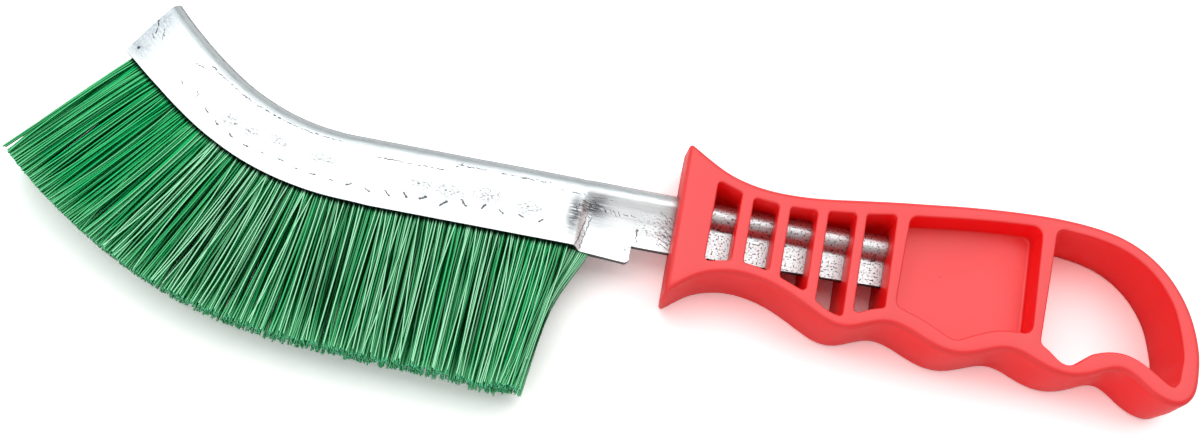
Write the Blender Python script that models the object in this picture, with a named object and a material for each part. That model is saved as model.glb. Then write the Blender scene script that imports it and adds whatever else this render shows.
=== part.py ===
"""Hand brush with a curved steel channel, plastic filaments and a moulded finger-grip handle.

Frame: the brush lies on its side. X runs along the tang, to the tail of the handle. Y is the
brush's height, with the filaments at -Y. Z is its thickness, up from the surface it lies on.
While it is modelled, x = 0 is the front of the guard and y = 0 the tang's reference line.
Depths in the channel are measured from its round back. All lengths are in metres.
"""

import math

import bmesh
import bpy
from mathutils import Matrix, Vector
from mathutils.geometry import intersect_line_line_2d

# Handle: overall form
HANDLE_LENGTH = 0.1131
HANDLE_THICKNESS = 0.017
GUARD_TOP = 0.0140
GUARD_BOTTOM = 0.0203
GUARD_TIP_RADIUS = 0.0006
GUARD_TIP_REACH = 0.0052
GRIP_RISE = 0.01266
GRIP_DROP = 0.02373
SIDE_BULGE = 0.0003
EDGE_FILLET = 0.0012
OPENING_FILLET = 0.0004
FILLET_STEPS = 3
OPENING_FILLET_STEPS = 2
OUTLINE_STEP = 0.0010
OUTLINE_REACH = 0.0032
outline_turn = math.radians(9.0)
OUTLINE_SMOOTHING = 6

# Handle: walls between its openings
RIM = 0.0030
GUARD_WALL = 0.0072
WINDOW_RIB = 0.0027
WINDOW_LAST_RIB = 0.0022
WINDOWS_LENGTH = 0.0388
WINDOW_CORNER = 0.0008
window_width_shares = [0.186, 0.190, 0.200, 0.205, 0.219]
corner_clearance_share = 1.2
SOCKET_WALL = 0.0026
POCKET_LENGTH = 0.0288
POCKET_WEB = 0.0015
POCKET_CORNER = 0.0020
LOOP_WALL = 0.0026
LOOP_CORNER = 0.0016
window_lean = math.radians(1.0)
pocket_front_lean = math.radians(3.0)
pocket_back_lean = math.radians(1.1)
loop_lean = math.radians(3.7)

# Outline of the handle, from the guard's upper tip round the tail. x follows HANDLE_LENGTH.
# y follows GRIP_RISE on the upper edge and GRIP_DROP on the lower one.
upper_edge_shares = [
    (0.056, 0.803), (0.088, 0.663), (0.121, 0.577), (0.155, 0.526), (0.190, 0.511),
    (0.229, 0.522), (0.274, 0.562), (0.350, 0.666), (0.409, 0.745), (0.471, 0.816),
    (0.532, 0.887), (0.593, 0.943), (0.655, 0.983), (0.712, 1.000), (0.764, 0.983),
    (0.811, 0.934), (0.850, 0.847), (0.890, 0.679), (0.926, 0.430), (0.955, 0.125),
    (0.978, -0.229), (0.993, -0.623), (1.000, -0.950),
]
lower_edge_shares = [
    (1.000, -0.700), (0.995, -0.880), (0.970, -1.000), (0.942, -0.996), (0.912, -0.941),
    (0.883, -0.834), (0.857, -0.768), (0.833, -0.791), (0.798, -0.877), (0.760, -0.921),
    (0.727, -0.910), (0.694, -0.854), (0.660, -0.787), (0.633, -0.784), (0.597, -0.850),
    (0.559, -0.914), (0.525, -0.915), (0.487, -0.860), (0.453, -0.785), (0.424, -0.748),
    (0.400, -0.759), (0.370, -0.826), (0.339, -0.878), (0.304, -0.859), (0.268, -0.773),
    (0.227, -0.673), (0.188, -0.604), (0.151, -0.571), (0.115, -0.567), (0.085, -0.596),
    (0.055, -0.649), (0.032, -0.732),
]

# Thickness of the rim between the outline and the openings, as shares of RIM along the handle.
upper_rim_shares = [
    (0.00, 0.95), (0.10, 0.95), (0.30, 1.04), (0.36, 1.12), (0.41, 1.03), (0.45, 1.06),
    (0.68, 0.97), (0.72, 0.90), (0.87, 0.94), (0.94, 0.98), (0.975, 1.07), (0.99, 1.20),
    (1.00, 1.22),
]
lower_rim_shares = [
    (0.00, 1.10), (0.115, 0.97), (0.135, 1.00), (0.185, 0.90), (0.206, 0.88), (0.257, 0.98),
    (0.277, 0.84), (0.33, 0.88), (0.35, 1.06), (0.41, 1.20), (0.45, 1.36), (0.50, 1.33),
    (0.526, 1.12), (0.547, 1.07), (0.566, 1.24), (0.59, 1.37), (0.63, 1.45), (0.67, 1.50),
    (0.705, 1.35), (0.743, 0.78), (0.761, 0.78), (0.81, 1.47), (0.835, 1.38), (0.867, 1.30),
    (0.906, 1.42), (0.935, 1.30), (0.955, 1.28), (0.975, 1.50), (1.00, 1.35),
]

# Blade: one folded strip of sheet steel
SHEET = 0.0008
BACK_RISE = 0.0038
CHANNEL_RADIUS = 0.0031
CHANNEL_MOUTH = 0.0056
CHANNEL_DEPTH = 0.0158
CHANNEL_STRAIGHT = 0.0710
CURVE_RADIUS = 0.0510
NOSE_RADIUS = 0.1080
curve_angle = math.radians(33.0)
nose_angle = math.radians(11.9)
curve_step = math.radians(4.2)
NOSE_CUT_NEAR = 0.0033
NOSE_CUT_FAR = 0.0003
NOSE_END = 0.0057
channel_depth_shares = [
    (0.00, 1.000), (0.53, 1.000), (0.566, 0.985), (0.607, 0.975), (0.65, 0.965),
    (0.69, 0.960), (0.73, 0.955), (0.77, 0.947), (0.89, 0.947), (0.93, 0.960), (1.00, 0.985),
]
BACK_ARC_STEPS = 5
wall_place_shares = [0.28, 0.55, 0.80, 1.00]

# Blade: where its walls are pinched together, and the tang in the handle
SEAM = 0.0002
PINCH_START = 0.0206
PINCH_CREASE = 0.0016
PINCH_DEPTH = 0.0165
TAB_DEPTH = 0.0171
TAB_END = 0.0084
TAB_SLOPE = 0.0006
TANG_DEPTH = 0.0132
TANG_HEIGHT = 0.0130
TANG_TIP_HEIGHT = 0.0116
TANG_SHOULDER = 0.0065
TANG_GRIP = 0.0012
pinch_shares = [0.62, 0.32, 0.10, 0.00]
crease_middle_share = 0.55
shoulder_start_share = 0.1
shoulder_middle_share = 0.6
web_place_shares = [0.00, 0.33, 0.67, 1.00]
BEAD_ARC_STEPS = 5
bead_arc = math.radians(125.0)

# Crimp marks that clamp the filaments, measured along the channel's mouth
CRIMP_PITCH = 0.00424
CRIMP_RISE = 0.0038
CRIMP_RADIUS = 0.0007
CRIMP_SINK = 0.0004
CRIMP_START = 0.0284
CRIMP_SIDES = 6

# Core wire and filaments
CORE_RADIUS = 0.0010
CORE_DEPTH = 0.0044
CORE_SIDES = 8
NOSE_MARGIN = 0.0049
ROOT_MARGIN = 0.0010
BUNDLE_COUNT = 11
BUNDLE_COLUMNS = 12
BUNDLE_ROWS = 3
BUNDLE_GAP = 0.0003
BUNDLE_TOP = 0.0026
BUNDLE_CHAMFER = 0.0007
TRIM_LENGTH = 0.0332
TRIM_SCATTER = 0.0006
FILAMENT_RADIUS = 0.00031
TIP_SPREAD = 0.0057
TIP_SCATTER = 0.0012
ROOT_LEAN_SPAN = 0.0200
heel_lean = math.radians(9.0)
nose_lean = math.radians(4.2)
trim_shares = [
    (0.00, 0.990), (0.06, 1.000), (0.10, 1.030), (0.14, 1.000), (0.25, 0.985), (0.50, 0.965),
    (0.65, 0.968), (0.80, 0.982), (0.90, 1.000), (1.00, 0.990),
]
golden_share = 0.618

# Clearance between touching pieces, and how far a cutter runs past a face
FIT = 0.0003
OVERRUN = 0.0010
WELD = 0.000001

MIDDLE = HANDLE_THICKNESS / 2
WINDOWS_END = GUARD_WALL + WINDOWS_LENGTH
TANG_LENGTH = WINDOWS_END + TANG_GRIP


def clear_scene():
    for obj in list(bpy.data.objects):
        bpy.data.objects.remove(obj)


def material(name, colour, roughness, metallic=0.0):
    made = bpy.data.materials.new(name)
    made.use_nodes = True
    shader = made.node_tree.nodes["Principled BSDF"]
    shader.inputs["Base Color"].default_value = (*colour, 1.0)
    shader.inputs["Roughness"].default_value = roughness
    shader.inputs["Metallic"].default_value = metallic
    return made


def finish(name, bm, parent, look, sharp_degrees=30.0):
    """Makes the object NAME from a bmesh, with its faces turned outwards."""
    bmesh.ops.recalc_face_normals(bm, faces=bm.faces)
    mesh = bpy.data.meshes.new(name)
    bm.to_mesh(mesh)
    bm.free()
    mesh.shade_smooth()
    mesh.set_sharp_from_angle(angle=math.radians(sharp_degrees))
    obj = bpy.data.objects.new(name, mesh)
    bpy.context.scene.collection.objects.link(obj)
    obj.parent = parent
    if look:
        mesh.materials.append(look)
    else:
        obj.hide_render = True
        obj.display_type = "WIRE"
    return obj


def cut(obj, cutter):
    boolean = obj.modifiers.new(cutter.name, "BOOLEAN")
    boolean.operation = "DIFFERENCE"
    boolean.solver = "EXACT"
    boolean.object = cutter


def blend(a, b, share):
    return a + (b - a) * share


def table(shares, place):
    """Reads a table of (place, value) pairs, straight between its rows."""
    for (start, low), (end, high) in zip(shares[:-1], shares[1:]):
        if place <= end:
            return blend(low, high, max(0.0, (place - start) / (end - start)))
    return shares[-1][1]


# Plane curves of the handle


def through(points, step):
    """A smooth curve through the points, with a point about every STEP."""
    points = [Vector(p) for p in points]
    ends = [points[0] * 2 - points[1]] + points + [points[-1] * 2 - points[-2]]
    curve = []
    for before, start, end, after in zip(ends[:-3], ends[1:-2], ends[2:-1], ends[3:]):
        steps = max(1, round((end - start).length / step))
        for i in range(steps):
            t = i / steps
            curve.append(
                0.5 * (2 * start + (end - before) * t
                       + (2 * before - 5 * start + 4 * end - after) * t ** 2
                       + (3 * start - before - 3 * end + after) * t ** 3)
            )
    return curve + [points[-1]]


def smoothed(curve, rounds):
    for _ in range(rounds):
        middle = [(a + b * 2 + c) / 4 for a, b, c in zip(curve, curve[1:], curve[2:])]
        curve = [curve[0]] + middle + [curve[-1]]
    return curve


def thinned(curve, turn, reach):
    """The points of a fine curve that are needed: one for each TURN, or each REACH if straight."""
    kept = [curve[0]]
    turned = 0
    for before, point, after in zip(curve, curve[1:], curve[2:]):
        turned += (point - before).angle(after - point)
        if turned > turn or (after - kept[-1]).length > reach:
            kept.append(point)
            turned = 0
    return kept + [curve[-1]]


def rounded(outline, corners, steps=4):
    """The closed outline with an arc in place of each corner. CORNERS maps index to radius."""
    result = []
    dropped = set()
    arcs = {}
    count = len(outline)
    for index, radius in corners.items():
        corner = outline[index]
        back = (outline[index - 1] - corner).normalized()
        ahead = (outline[(index + 1) % count] - corner).normalized()
        trim = radius / math.tan(back.angle(ahead) / 2)
        start, end = corner + back * trim, corner + ahead * trim
        for way in (-1, 1):
            step = way
            while (outline[(index + step) % count] - corner).length < trim * corner_clearance_share:
                dropped.add((index + step) % count)
                step += way
        middle = corner + (back + ahead).normalized() * (radius / math.sin(back.angle(ahead) / 2))
        first = start - middle
        turn = first.angle_signed(end - middle)
        arcs[index] = [
            middle + Matrix.Rotation(-turn * i / steps, 2) @ first for i in range(steps + 1)
        ]
    for index, point in enumerate(outline):
        if index in arcs:
            result += arcs[index]
        elif index not in dropped:
            result.append(point)
    return result


def normals(outline):
    """Outward normals of a closed outline that runs clockwise, long enough to keep its walls."""
    found = []
    count = len(outline)
    for i in range(count):
        back = (outline[i] - outline[i - 1]).normalized()
        ahead = (outline[(i + 1) % count] - outline[i]).normalized()
        mean = (back + ahead).normalized()
        found.append(Vector((-mean.y, mean.x)) / max(0.4, mean.dot(ahead)))
    return found


def offset(outline, distance):
    return [p + n * distance for p, n in zip(outline, normals(outline))]


def handle_curve():
    """The handle's outline without the guard's front, from its upper tip to its lower tip."""
    points = [(0, GUARD_TOP)]
    points += [(x * HANDLE_LENGTH, y * GRIP_RISE) for x, y in upper_edge_shares]
    points += [(x * HANDLE_LENGTH, y * GRIP_DROP) for x, y in lower_edge_shares]
    points += [(0, -GUARD_BOTTOM)]
    curve = smoothed(through(points, OUTLINE_STEP), OUTLINE_SMOOTHING)
    return thinned(curve, outline_turn, OUTLINE_REACH)


def handle_outline():
    """The whole outline, with room beside the guard's two tips for the rounding of its edges."""
    curve = handle_curve()
    free = [p for p in curve[1:-1]
            if min((p - curve[0]).length, (p - curve[-1]).length) > GUARD_TIP_REACH]
    return [curve[0]] + free + [curve[-1]]


def without_loops(curve):
    """The curve without the loops that it makes where it bends inside the rim's thickness."""
    kept = list(curve)
    i = 1
    while i < len(kept):
        for j in range(len(kept) - 1, i + 1, -1):
            meeting = intersect_line_line_2d(kept[i - 1], kept[i], kept[j - 1], kept[j])
            if meeting:
                kept[i:j] = [meeting]
                break
        i += 1
    return kept


def inner_curve():
    """The edge of the rim that the openings keep, all round from the guard to the guard."""
    curve = handle_curve()
    tail = max(range(len(curve)), key=lambda i: curve[i].x)
    inner = []
    for i, (point, normal) in enumerate(zip(curve, normals(curve))):
        shares = upper_rim_shares if i <= tail else lower_rim_shares
        inner.append(point - normal.normalized() * RIM * table(shares, point.x / HANDLE_LENGTH))
    return without_loops(inner[1:-1])


def wall_line(place, lean):
    """Where a wall across the handle stands at height y."""
    return lambda y: place + (y - BACK_RISE + TANG_HEIGHT / 2) * math.tan(lean)


def opening(front, back, corner):
    """The part of the inner curve between two walls. BACK may be None, for the tail."""
    ring = inner_curve()

    def inside(p):
        return p.x > front(p.y) and (back is None or p.x < back(p.y))

    def crossing(a, b, wall):
        near, far = a.x - wall(a.y), b.x - wall(b.y)
        return a.lerp(b, near / (near - far))

    shape = []
    corners = []
    for a, b in zip(ring[:-1], ring[1:]):
        if inside(a) and not inside(b) or inside(b) and not inside(a):
            crossed = (a.x > front(a.y)) != (b.x > front(b.y))
            corners.append(len(shape))
            shape.append(crossing(a, b, front if crossed else back))
        if inside(b):
            shape.append(b)
    return rounded(shape, {i: corner for i in corners}, 3)


def window_walls():
    gaps = len(window_width_shares) - 1
    ribs = [blend(WINDOW_RIB, WINDOW_LAST_RIB, i / (gaps - 1)) for i in range(gaps)]
    room = WINDOWS_LENGTH - sum(ribs)
    walls = []
    start = GUARD_WALL
    for share, rib in zip(window_width_shares, ribs + [0]):
        walls.append((start, start + room * share))
        start += room * share + rib
    return walls


# Handle


def stack(bm, outline, levels, tips=None):
    """Rings of the outline at each (height, offset), joined by walls. Returns the end rings.

    TIPS maps the index of a corner of the outline to the radius that it keeps in each ring.
    """
    rings = []
    for z, distance in levels:
        ring = rounded(offset(outline, distance), tips or {})
        rings.append([bm.verts.new((p.x, p.y, z)) for p in ring])
    for low, high in zip(rings[:-1], rings[1:]):
        for i in range(len(low)):
            bm.faces.new((low[i - 1], low[i], high[i], high[i - 1]))
    return rings[0], rings[-1]


def fillet(radius, steps, side):
    """(height, offset) pairs of a rounded edge below z = 0. SIDE is -1 on an outer edge."""
    turns = [math.pi / 2 * i / steps for i in range(steps + 1)]
    return [(radius * (math.sin(a) - 1), side * radius * (1 - math.cos(a))) for a in turns]


def through_levels(radius, steps, side):
    edge = fillet(radius, steps, side)
    return [(-z, d) for z, d in reversed(edge)] + [(HANDLE_THICKNESS + z, d) for z, d in edge]


def fill(bm, rings):
    """Fills the flat region between closed rings of points."""
    edges = [bm.edges.get((r[i - 1], r[i])) or bm.edges.new((r[i - 1], r[i]))
             for r in rings for i in range(len(r))]
    bmesh.ops.triangle_fill(bm, use_beauty=True, use_dissolve=False, edges=edges)


def make_handle(parent, look):
    bm = bmesh.new()
    lower_rings, upper_rings = [], []
    outline = handle_outline()
    levels = through_levels(EDGE_FILLET, FILLET_STEPS, -1)
    levels.insert(len(levels) // 2, (MIDDLE, SIDE_BULGE))
    tips = {0: GUARD_TIP_RADIUS, len(outline) - 1: GUARD_TIP_RADIUS}
    low, high = stack(bm, outline, levels, tips)
    lower_rings.append(low)
    upper_rings.append(high)

    holes = [
        opening(wall_line(a, window_lean), wall_line(b, window_lean), WINDOW_CORNER)
        for a, b in window_walls()
    ]
    pocket_start = WINDOWS_END + SOCKET_WALL
    pocket_end = pocket_start + POCKET_LENGTH
    holes.append(opening(wall_line(pocket_end + LOOP_WALL, loop_lean), None, LOOP_CORNER))
    for hole in holes:
        low, high = stack(bm, hole, through_levels(OPENING_FILLET, OPENING_FILLET_STEPS, 1))
        lower_rings.append(low)
        upper_rings.append(high)

    pocket = opening(wall_line(pocket_start, pocket_front_lean),
                     wall_line(pocket_end, pocket_back_lean), POCKET_CORNER)
    edge = fillet(OPENING_FILLET, OPENING_FILLET_STEPS, 1)
    upper = [(MIDDLE + POCKET_WEB / 2, 0)] + [(HANDLE_THICKNESS + z, d) for z, d in edge]
    lower = [(HANDLE_THICKNESS - z, d) for z, d in upper]
    for levels, rings in ((upper, upper_rings), (lower, lower_rings)):
        floor, mouth = stack(bm, pocket, levels)
        fill(bm, [floor])
        rings.append(mouth)
    fill(bm, lower_rings)
    fill(bm, upper_rings)
    handle = finish("handle", bm, parent, look)
    socket = make_socket(parent)
    cut(handle, socket)
    return handle


# Blade


def curve_frame(place):
    """The channel's back at a distance PLACE from the guard: point, direction, way to mouth."""
    turn = max(0, place - CHANNEL_STRAIGHT) / CURVE_RADIUS
    if turn <= curve_angle:
        x = -min(place, CHANNEL_STRAIGHT)
        centre = Vector((x, BACK_RISE + CURVE_RADIUS))
        radius = CURVE_RADIUS
    else:
        radius = NOSE_RADIUS
        end = Vector((math.sin(curve_angle), math.cos(curve_angle)))
        centre = Vector((-CHANNEL_STRAIGHT, BACK_RISE + CURVE_RADIUS))
        centre += end * (NOSE_RADIUS - CURVE_RADIUS)
        rest = place - CHANNEL_STRAIGHT - CURVE_RADIUS * curve_angle
        turn = curve_angle + rest / NOSE_RADIUS
    down = Vector((-math.sin(turn), -math.cos(turn)))
    return centre + down * radius, Vector((-math.cos(turn), math.sin(turn))), down


def channel_length():
    return CHANNEL_STRAIGHT + CURVE_RADIUS * curve_angle + NOSE_RADIUS * nose_angle


def channel_depth(place):
    return CHANNEL_DEPTH * table(channel_depth_shares, place / channel_length())


def point_at(place, depth, height):
    """A point of the blade: along its back, down from the back, and across its thickness."""
    back, _, down = curve_frame(place)
    point = back + down * depth
    return Vector((point.x, point.y, MIDDLE + height))


def arc_points(radius, skin, turns):
    """(depth, half width) on the round back. SKIN moves outwards."""
    reach = radius + skin
    return [(radius - reach * math.cos(a), reach * math.sin(a)) for a in turns]


def open_section(depth, skin):
    """Half of the open channel's section, from the middle of its back to its mouth."""
    turns = [math.pi / 2 * i / BACK_ARC_STEPS for i in range(BACK_ARC_STEPS + 1)]
    half = arc_points(CHANNEL_RADIUS, skin, turns)
    for share in wall_place_shares:
        half.append((blend(CHANNEL_RADIUS, depth, share),
                     blend(CHANNEL_RADIUS, CHANNEL_MOUTH / 2, share) + skin))
    return half


def pinched_section(depth, skin):
    """The same where the walls are pinched together at the mouth."""
    half = open_section(depth, skin)[:BACK_ARC_STEPS + 1]
    shut = SHEET + SEAM / 2
    for share, pinch in zip(wall_place_shares, pinch_shares):
        half.append((blend(CHANNEL_RADIUS, depth, share),
                     blend(shut, CHANNEL_RADIUS, pinch) + skin))
    return half


def bead_section(depth, skin):
    """The tang's section: a round bead, and a flat web of two layers below it."""
    turns = [bead_arc * i / BEAD_ARC_STEPS for i in range(BEAD_ARC_STEPS + 1)]
    half = arc_points(CHANNEL_RADIUS, skin, turns)
    web = SHEET + SEAM / 2 + skin
    crease = CHANNEL_RADIUS + math.sqrt((CHANNEL_RADIUS + skin) ** 2 - web ** 2)
    for share in web_place_shares:
        half.append((blend(crease, depth, share), web))
    return half


def mixed(a, b, share):
    return [(blend(p[0], q[0], share), blend(p[1], q[1], share)) for p, q in zip(a, b)]


def neck_stations(skin):
    """(place, half section) from the pinch at the channel's heel to the tang's tip."""
    start, crease = PINCH_START, PINCH_CREASE
    tang = [
        (0, mixed(pinched_section(TANG_DEPTH, skin),
                  bead_section(TANG_HEIGHT, skin), shoulder_start_share)),
        (-TANG_SHOULDER / 2, mixed(pinched_section(TANG_DEPTH, skin),
                                   bead_section(TANG_HEIGHT, skin), shoulder_middle_share)),
        (-TANG_SHOULDER, bead_section(TANG_HEIGHT, skin)),
        (-TANG_LENGTH - max(0, skin), bead_section(TANG_TIP_HEIGHT, skin)),
    ]
    outside = [
        (start, open_section(CHANNEL_DEPTH, skin)),
        (start - crease / 2, mixed(open_section(CHANNEL_DEPTH, skin),
                                   pinched_section(PINCH_DEPTH, skin), crease_middle_share)),
        (start - crease, pinched_section(PINCH_DEPTH, skin)),
        (TAB_END + TAB_SLOPE, pinched_section(TAB_DEPTH, skin)),
        (TAB_END, pinched_section(TANG_DEPTH, skin)),
        (TANG_SHOULDER / 3, pinched_section(TANG_DEPTH, skin)),
    ]
    return outside, tang


def whole(half):
    """The full section from a half: from the near mouth edge over the back to the far one."""
    return [(d, w) for d, w in reversed(half)] + [(d, -w) for d, w in half[1:]]


def blade_places():
    """Places along the open channel, close together where it curves."""
    steps = round(curve_angle / curve_step)
    places = [CHANNEL_STRAIGHT + CURVE_RADIUS * curve_angle * i / steps for i in range(steps + 1)]
    steps = round(nose_angle / curve_step) + 1
    last = channel_length() - NOSE_END
    first = places[-1]
    places += [blend(first, last, i / steps) for i in range(1, steps + 1)]
    return places + [channel_length()]


def make_blade(parent, look):
    bm = bmesh.new()
    outside, tang = neck_stations(0)
    inner_outside, inner_tang = neck_stations(-SHEET)
    sections = []
    for place in reversed(blade_places()):
        depth = channel_depth(place)
        sections.append((place, open_section(depth, 0), open_section(depth, -SHEET)))
    for (place, outer), (_, inner) in zip(outside + tang, inner_outside + inner_tang):
        sections.append((place, outer, inner))

    rings = []
    for number, (place, outer, inner) in enumerate(sections):
        depth = outer[-1][0]
        ring = []
        for half in (outer, inner):
            row = []
            for d, w in whole(half):
                cut_back = NOSE_CUT_NEAR if w > 0 else NOSE_CUT_FAR
                shift = cut_back * d / depth if number == 0 else 0
                row.append(bm.verts.new(point_at(place - shift, min(d, depth), w)))
            ring.append(row)
        rings.append(ring)
    for (outer_a, inner_a), (outer_b, inner_b) in zip(rings[:-1], rings[1:]):
        for a, b in ((outer_a, outer_b), (inner_a, inner_b)):
            for i in range(1, len(a)):
                bm.faces.new((a[i - 1], a[i], b[i], b[i - 1]))
        for end in (0, -1):
            bm.faces.new((outer_a[end], outer_b[end], inner_b[end], inner_a[end]))
    for outer, inner in (rings[0], rings[-1]):
        for i in range(1, len(outer)):
            bm.faces.new((outer[i - 1], outer[i], inner[i], inner[i - 1]))
    blade = finish("blade", bm, parent, look, 40.0)
    cut(blade, make_punches(parent))
    return blade


def make_socket(parent):
    """The cutter for the tang's seat in the handle: the tang's own form, larger by FIT."""
    outside, tang = neck_stations(FIT)
    mouth = (OVERRUN, outside[-1][1])
    bm = bmesh.new()
    rings = []
    for place, half in [mouth] + tang:
        section = whole(half)
        bottom = max(d for d, _ in section) + FIT
        section = [(bottom, section[0][1])] + section[1:-1] + [(bottom, section[-1][1])]
        rings.append([bm.verts.new(point_at(place, d, w)) for d, w in section])
    for a, b in zip(rings[:-1], rings[1:]):
        for i in range(len(a)):
            bm.faces.new((a[i - 1], a[i], b[i], b[i - 1]))
    bm.faces.new(rings[0])
    bm.faces.new(rings[-1])
    return finish("tang_socket", bm, parent, None)


def make_punches(parent):
    """The cutter for the crimp marks: a row of blunt points in each wall of the channel."""
    bm = bmesh.new()
    last = bundle_limits()[1]
    for number in range(int((last - CRIMP_START) / CRIMP_PITCH) + 1):
        place = place_of_run(CRIMP_START + number * CRIMP_PITCH)
        depth = channel_depth(place)
        wall = (depth - CRIMP_RISE - CHANNEL_RADIUS) / (depth - CHANNEL_RADIUS)
        half = blend(CHANNEL_RADIUS, CHANNEL_MOUTH / 2, wall)
        for side in (1, -1):
            tip = point_at(place, depth - CRIMP_RISE, side * (half - CRIMP_SINK))
            reach = CRIMP_SINK + OVERRUN
            middle = tip + Vector((0, 0, side * reach / 2))
            bmesh.ops.create_cone(
                bm, cap_ends=True, segments=CRIMP_SIDES, radius1=0,
                radius2=CRIMP_RADIUS * reach / CRIMP_SINK, depth=reach,
                matrix=Matrix.Translation(middle) @ Matrix.Diagonal((1, 1, side, 1)),
            )
    bmesh.ops.remove_doubles(bm, verts=bm.verts, dist=WELD)
    return finish("crimp_punches", bm, parent, None)


# Core wire and filament bundles


def mouth_run(place):
    """Length along the channel's mouth that belongs to a length along its back."""
    run = place
    past = place - CHANNEL_STRAIGHT
    if past > 0:
        curved = min(past, CURVE_RADIUS * curve_angle)
        run += curved * CHANNEL_DEPTH / CURVE_RADIUS
        run += (past - curved) * CHANNEL_DEPTH / NOSE_RADIUS
    return run


def place_of_run(run):
    low, high = 0, channel_length()
    for _ in range(40):
        middle = (low + high) / 2
        low, high = (middle, high) if mouth_run(middle) < run else (low, middle)
    return low


def bundle_limits():
    """Lengths along the mouth where the row of filaments starts and ends."""
    return (mouth_run(PINCH_START + ROOT_MARGIN),
            mouth_run(channel_length() - NOSE_MARGIN))


def make_core(parent, look):
    bm = bmesh.new()
    start, end = (place_of_run(run) for run in bundle_limits())
    places = [start, CHANNEL_STRAIGHT]
    steps = round((curve_angle + nose_angle) / curve_step)
    places += [blend(CHANNEL_STRAIGHT, end, i / steps) for i in range(1, steps + 1)]
    rings = []
    for place in places:
        turns = [2 * math.pi * i / CORE_SIDES for i in range(CORE_SIDES)]
        rings.append([
            bm.verts.new(point_at(place, CORE_DEPTH + CORE_RADIUS * math.cos(a),
                                  CORE_RADIUS * math.sin(a))) for a in turns
        ])
    for a, b in zip(rings[:-1], rings[1:]):
        for i in range(CORE_SIDES):
            bm.faces.new((a[i - 1], a[i], b[i], b[i - 1]))
    bm.faces.new(rings[0])
    bm.faces.new(rings[-1])
    return finish("core_wire", bm, parent, look, 50.0)


def filament_tip(run, share, row, number):
    """Offsets of a tip from its root: along the channel, out of it, and across."""
    start, end = bundle_limits()
    scatter = (number * golden_share) % 1 - 0.5
    length = TRIM_LENGTH * table(trim_shares, share) + TRIM_SCATTER * scatter
    lean = heel_lean * max(0, 1 - (run - start) / ROOT_LEAN_SPAN) ** 2
    lean -= nose_lean * max(0, 1 - (end - run) / ROOT_LEAN_SPAN) ** 2
    side = (number * golden_share * golden_share) % 1 - 0.5
    return length * math.tan(lean), length, row * TIP_SPREAD + 2 * side * TIP_SCATTER


def make_bundle(number, parent, look):
    """One slice of the folded filament roots, with a bore for the core wire, and its strands."""
    start, end = bundle_limits()
    length = (end - start) / BUNDLE_COUNT
    first = start + number * length + BUNDLE_GAP / 2
    last = first + length - BUNDLE_GAP
    runs = [blend(first, last, i / BUNDLE_COLUMNS) for i in range(BUNDLE_COLUMNS + 1)]
    places = [place_of_run(run) for run in runs]
    half = CHANNEL_MOUTH / 2 - SHEET - FIT
    widths = [blend(-half, half, i / BUNDLE_ROWS) for i in range(BUNDLE_ROWS + 1)]
    bm = bmesh.new()

    def put(place, depth, height):
        return bm.verts.new(point_at(place, depth, height))

    base = [[put(p, channel_depth(p) - FIT, w) for w in widths] for p in places]
    shoulder = BUNDLE_TOP + BUNDLE_CHAMFER
    top_outline = [(shoulder, -half), (BUNDLE_TOP, BUNDLE_CHAMFER - half),
                   (BUNDLE_TOP, half - BUNDLE_CHAMFER), (shoulder, half)]
    turns = [2 * math.pi * i / CORE_SIDES for i in range(CORE_SIDES)]
    bore = [(CORE_DEPTH + (CORE_RADIUS + FIT) * math.cos(a),
             (CORE_RADIUS + FIT) * math.sin(a)) for a in turns]
    stops = [places[0], places[BUNDLE_COLUMNS // 2], places[-1]]
    tops = [[put(p, d, w) for d, w in top_outline] for p in stops]
    bores = [[put(p, d, w) for d, w in bore] for p in stops]

    for rows in (tops, bores):
        for a, b in zip(rows[:-1], rows[1:]):
            for i in range(1 if rows is tops else 0, len(a)):
                bm.faces.new((a[i - 1], a[i], b[i], b[i - 1]))
    bm.faces.new([row[0] for row in tops] + [row[0] for row in reversed(base)])
    bm.faces.new([row[-1] for row in tops] + [row[-1] for row in reversed(base)])
    for top, ring, foot in ((tops[0], bores[0], base[0]), (tops[-1], bores[-1], base[-1])):
        fill(bm, [top + foot[::-1], ring])

    for column in range(BUNDLE_COLUMNS):
        run = (runs[column] + runs[column + 1]) / 2
        place = place_of_run(run)
        _, along, down = curve_frame(place)
        for row in range(BUNDLE_ROWS):
            corners = (base[column][row], base[column + 1][row],
                       base[column + 1][row + 1], base[column][row + 1])
            height = (widths[row] + widths[row + 1]) / 2
            root = point_at(place, channel_depth(place) - FIT, height)
            index = number * BUNDLE_COLUMNS + column
            share = (run - start) / (end - start)
            tip = filament_tip(run, share, row - (BUNDLE_ROWS - 1) / 2, index)
            reach = Vector((*(along * tip[0] + down * tip[1]), tip[2]))
            ring = []
            for turn in (-150, -30, 90):
                a = math.radians(turn)
                side = FILAMENT_RADIUS * math.cos(a)
                offset_to = Vector((along.x * side, along.y * side,
                                    FILAMENT_RADIUS * math.sin(a)))
                ring.append(root + offset_to)
            low = [bm.verts.new(p) for p in ring]
            high = [bm.verts.new(p + reach) for p in ring]
            bm.faces.new((corners[0], corners[1], low[1], low[0]))
            bm.faces.new((corners[1], corners[2], low[2], low[1]))
            bm.faces.new((corners[2], corners[3], low[2]))
            bm.faces.new((corners[3], corners[0], low[0], low[2]))
            for i in range(3):
                bm.faces.new((low[i - 1], low[i], high[i], high[i - 1]))
            bm.faces.new(high)
    return finish(f"bristles_{number + 1:02d}", bm, parent, look)


def centre_on_base(parent, objects):
    """Moves the whole brush so that the frame's origin is under the middle of its box."""
    points = [v.co for obj in objects for v in obj.data.vertices]
    for axis in (0, 1):
        values = [p[axis] for p in points]
        parent.location[axis] = -(min(values) + max(values)) / 2
    parent.location.z = -min(p.z for p in points)


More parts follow.
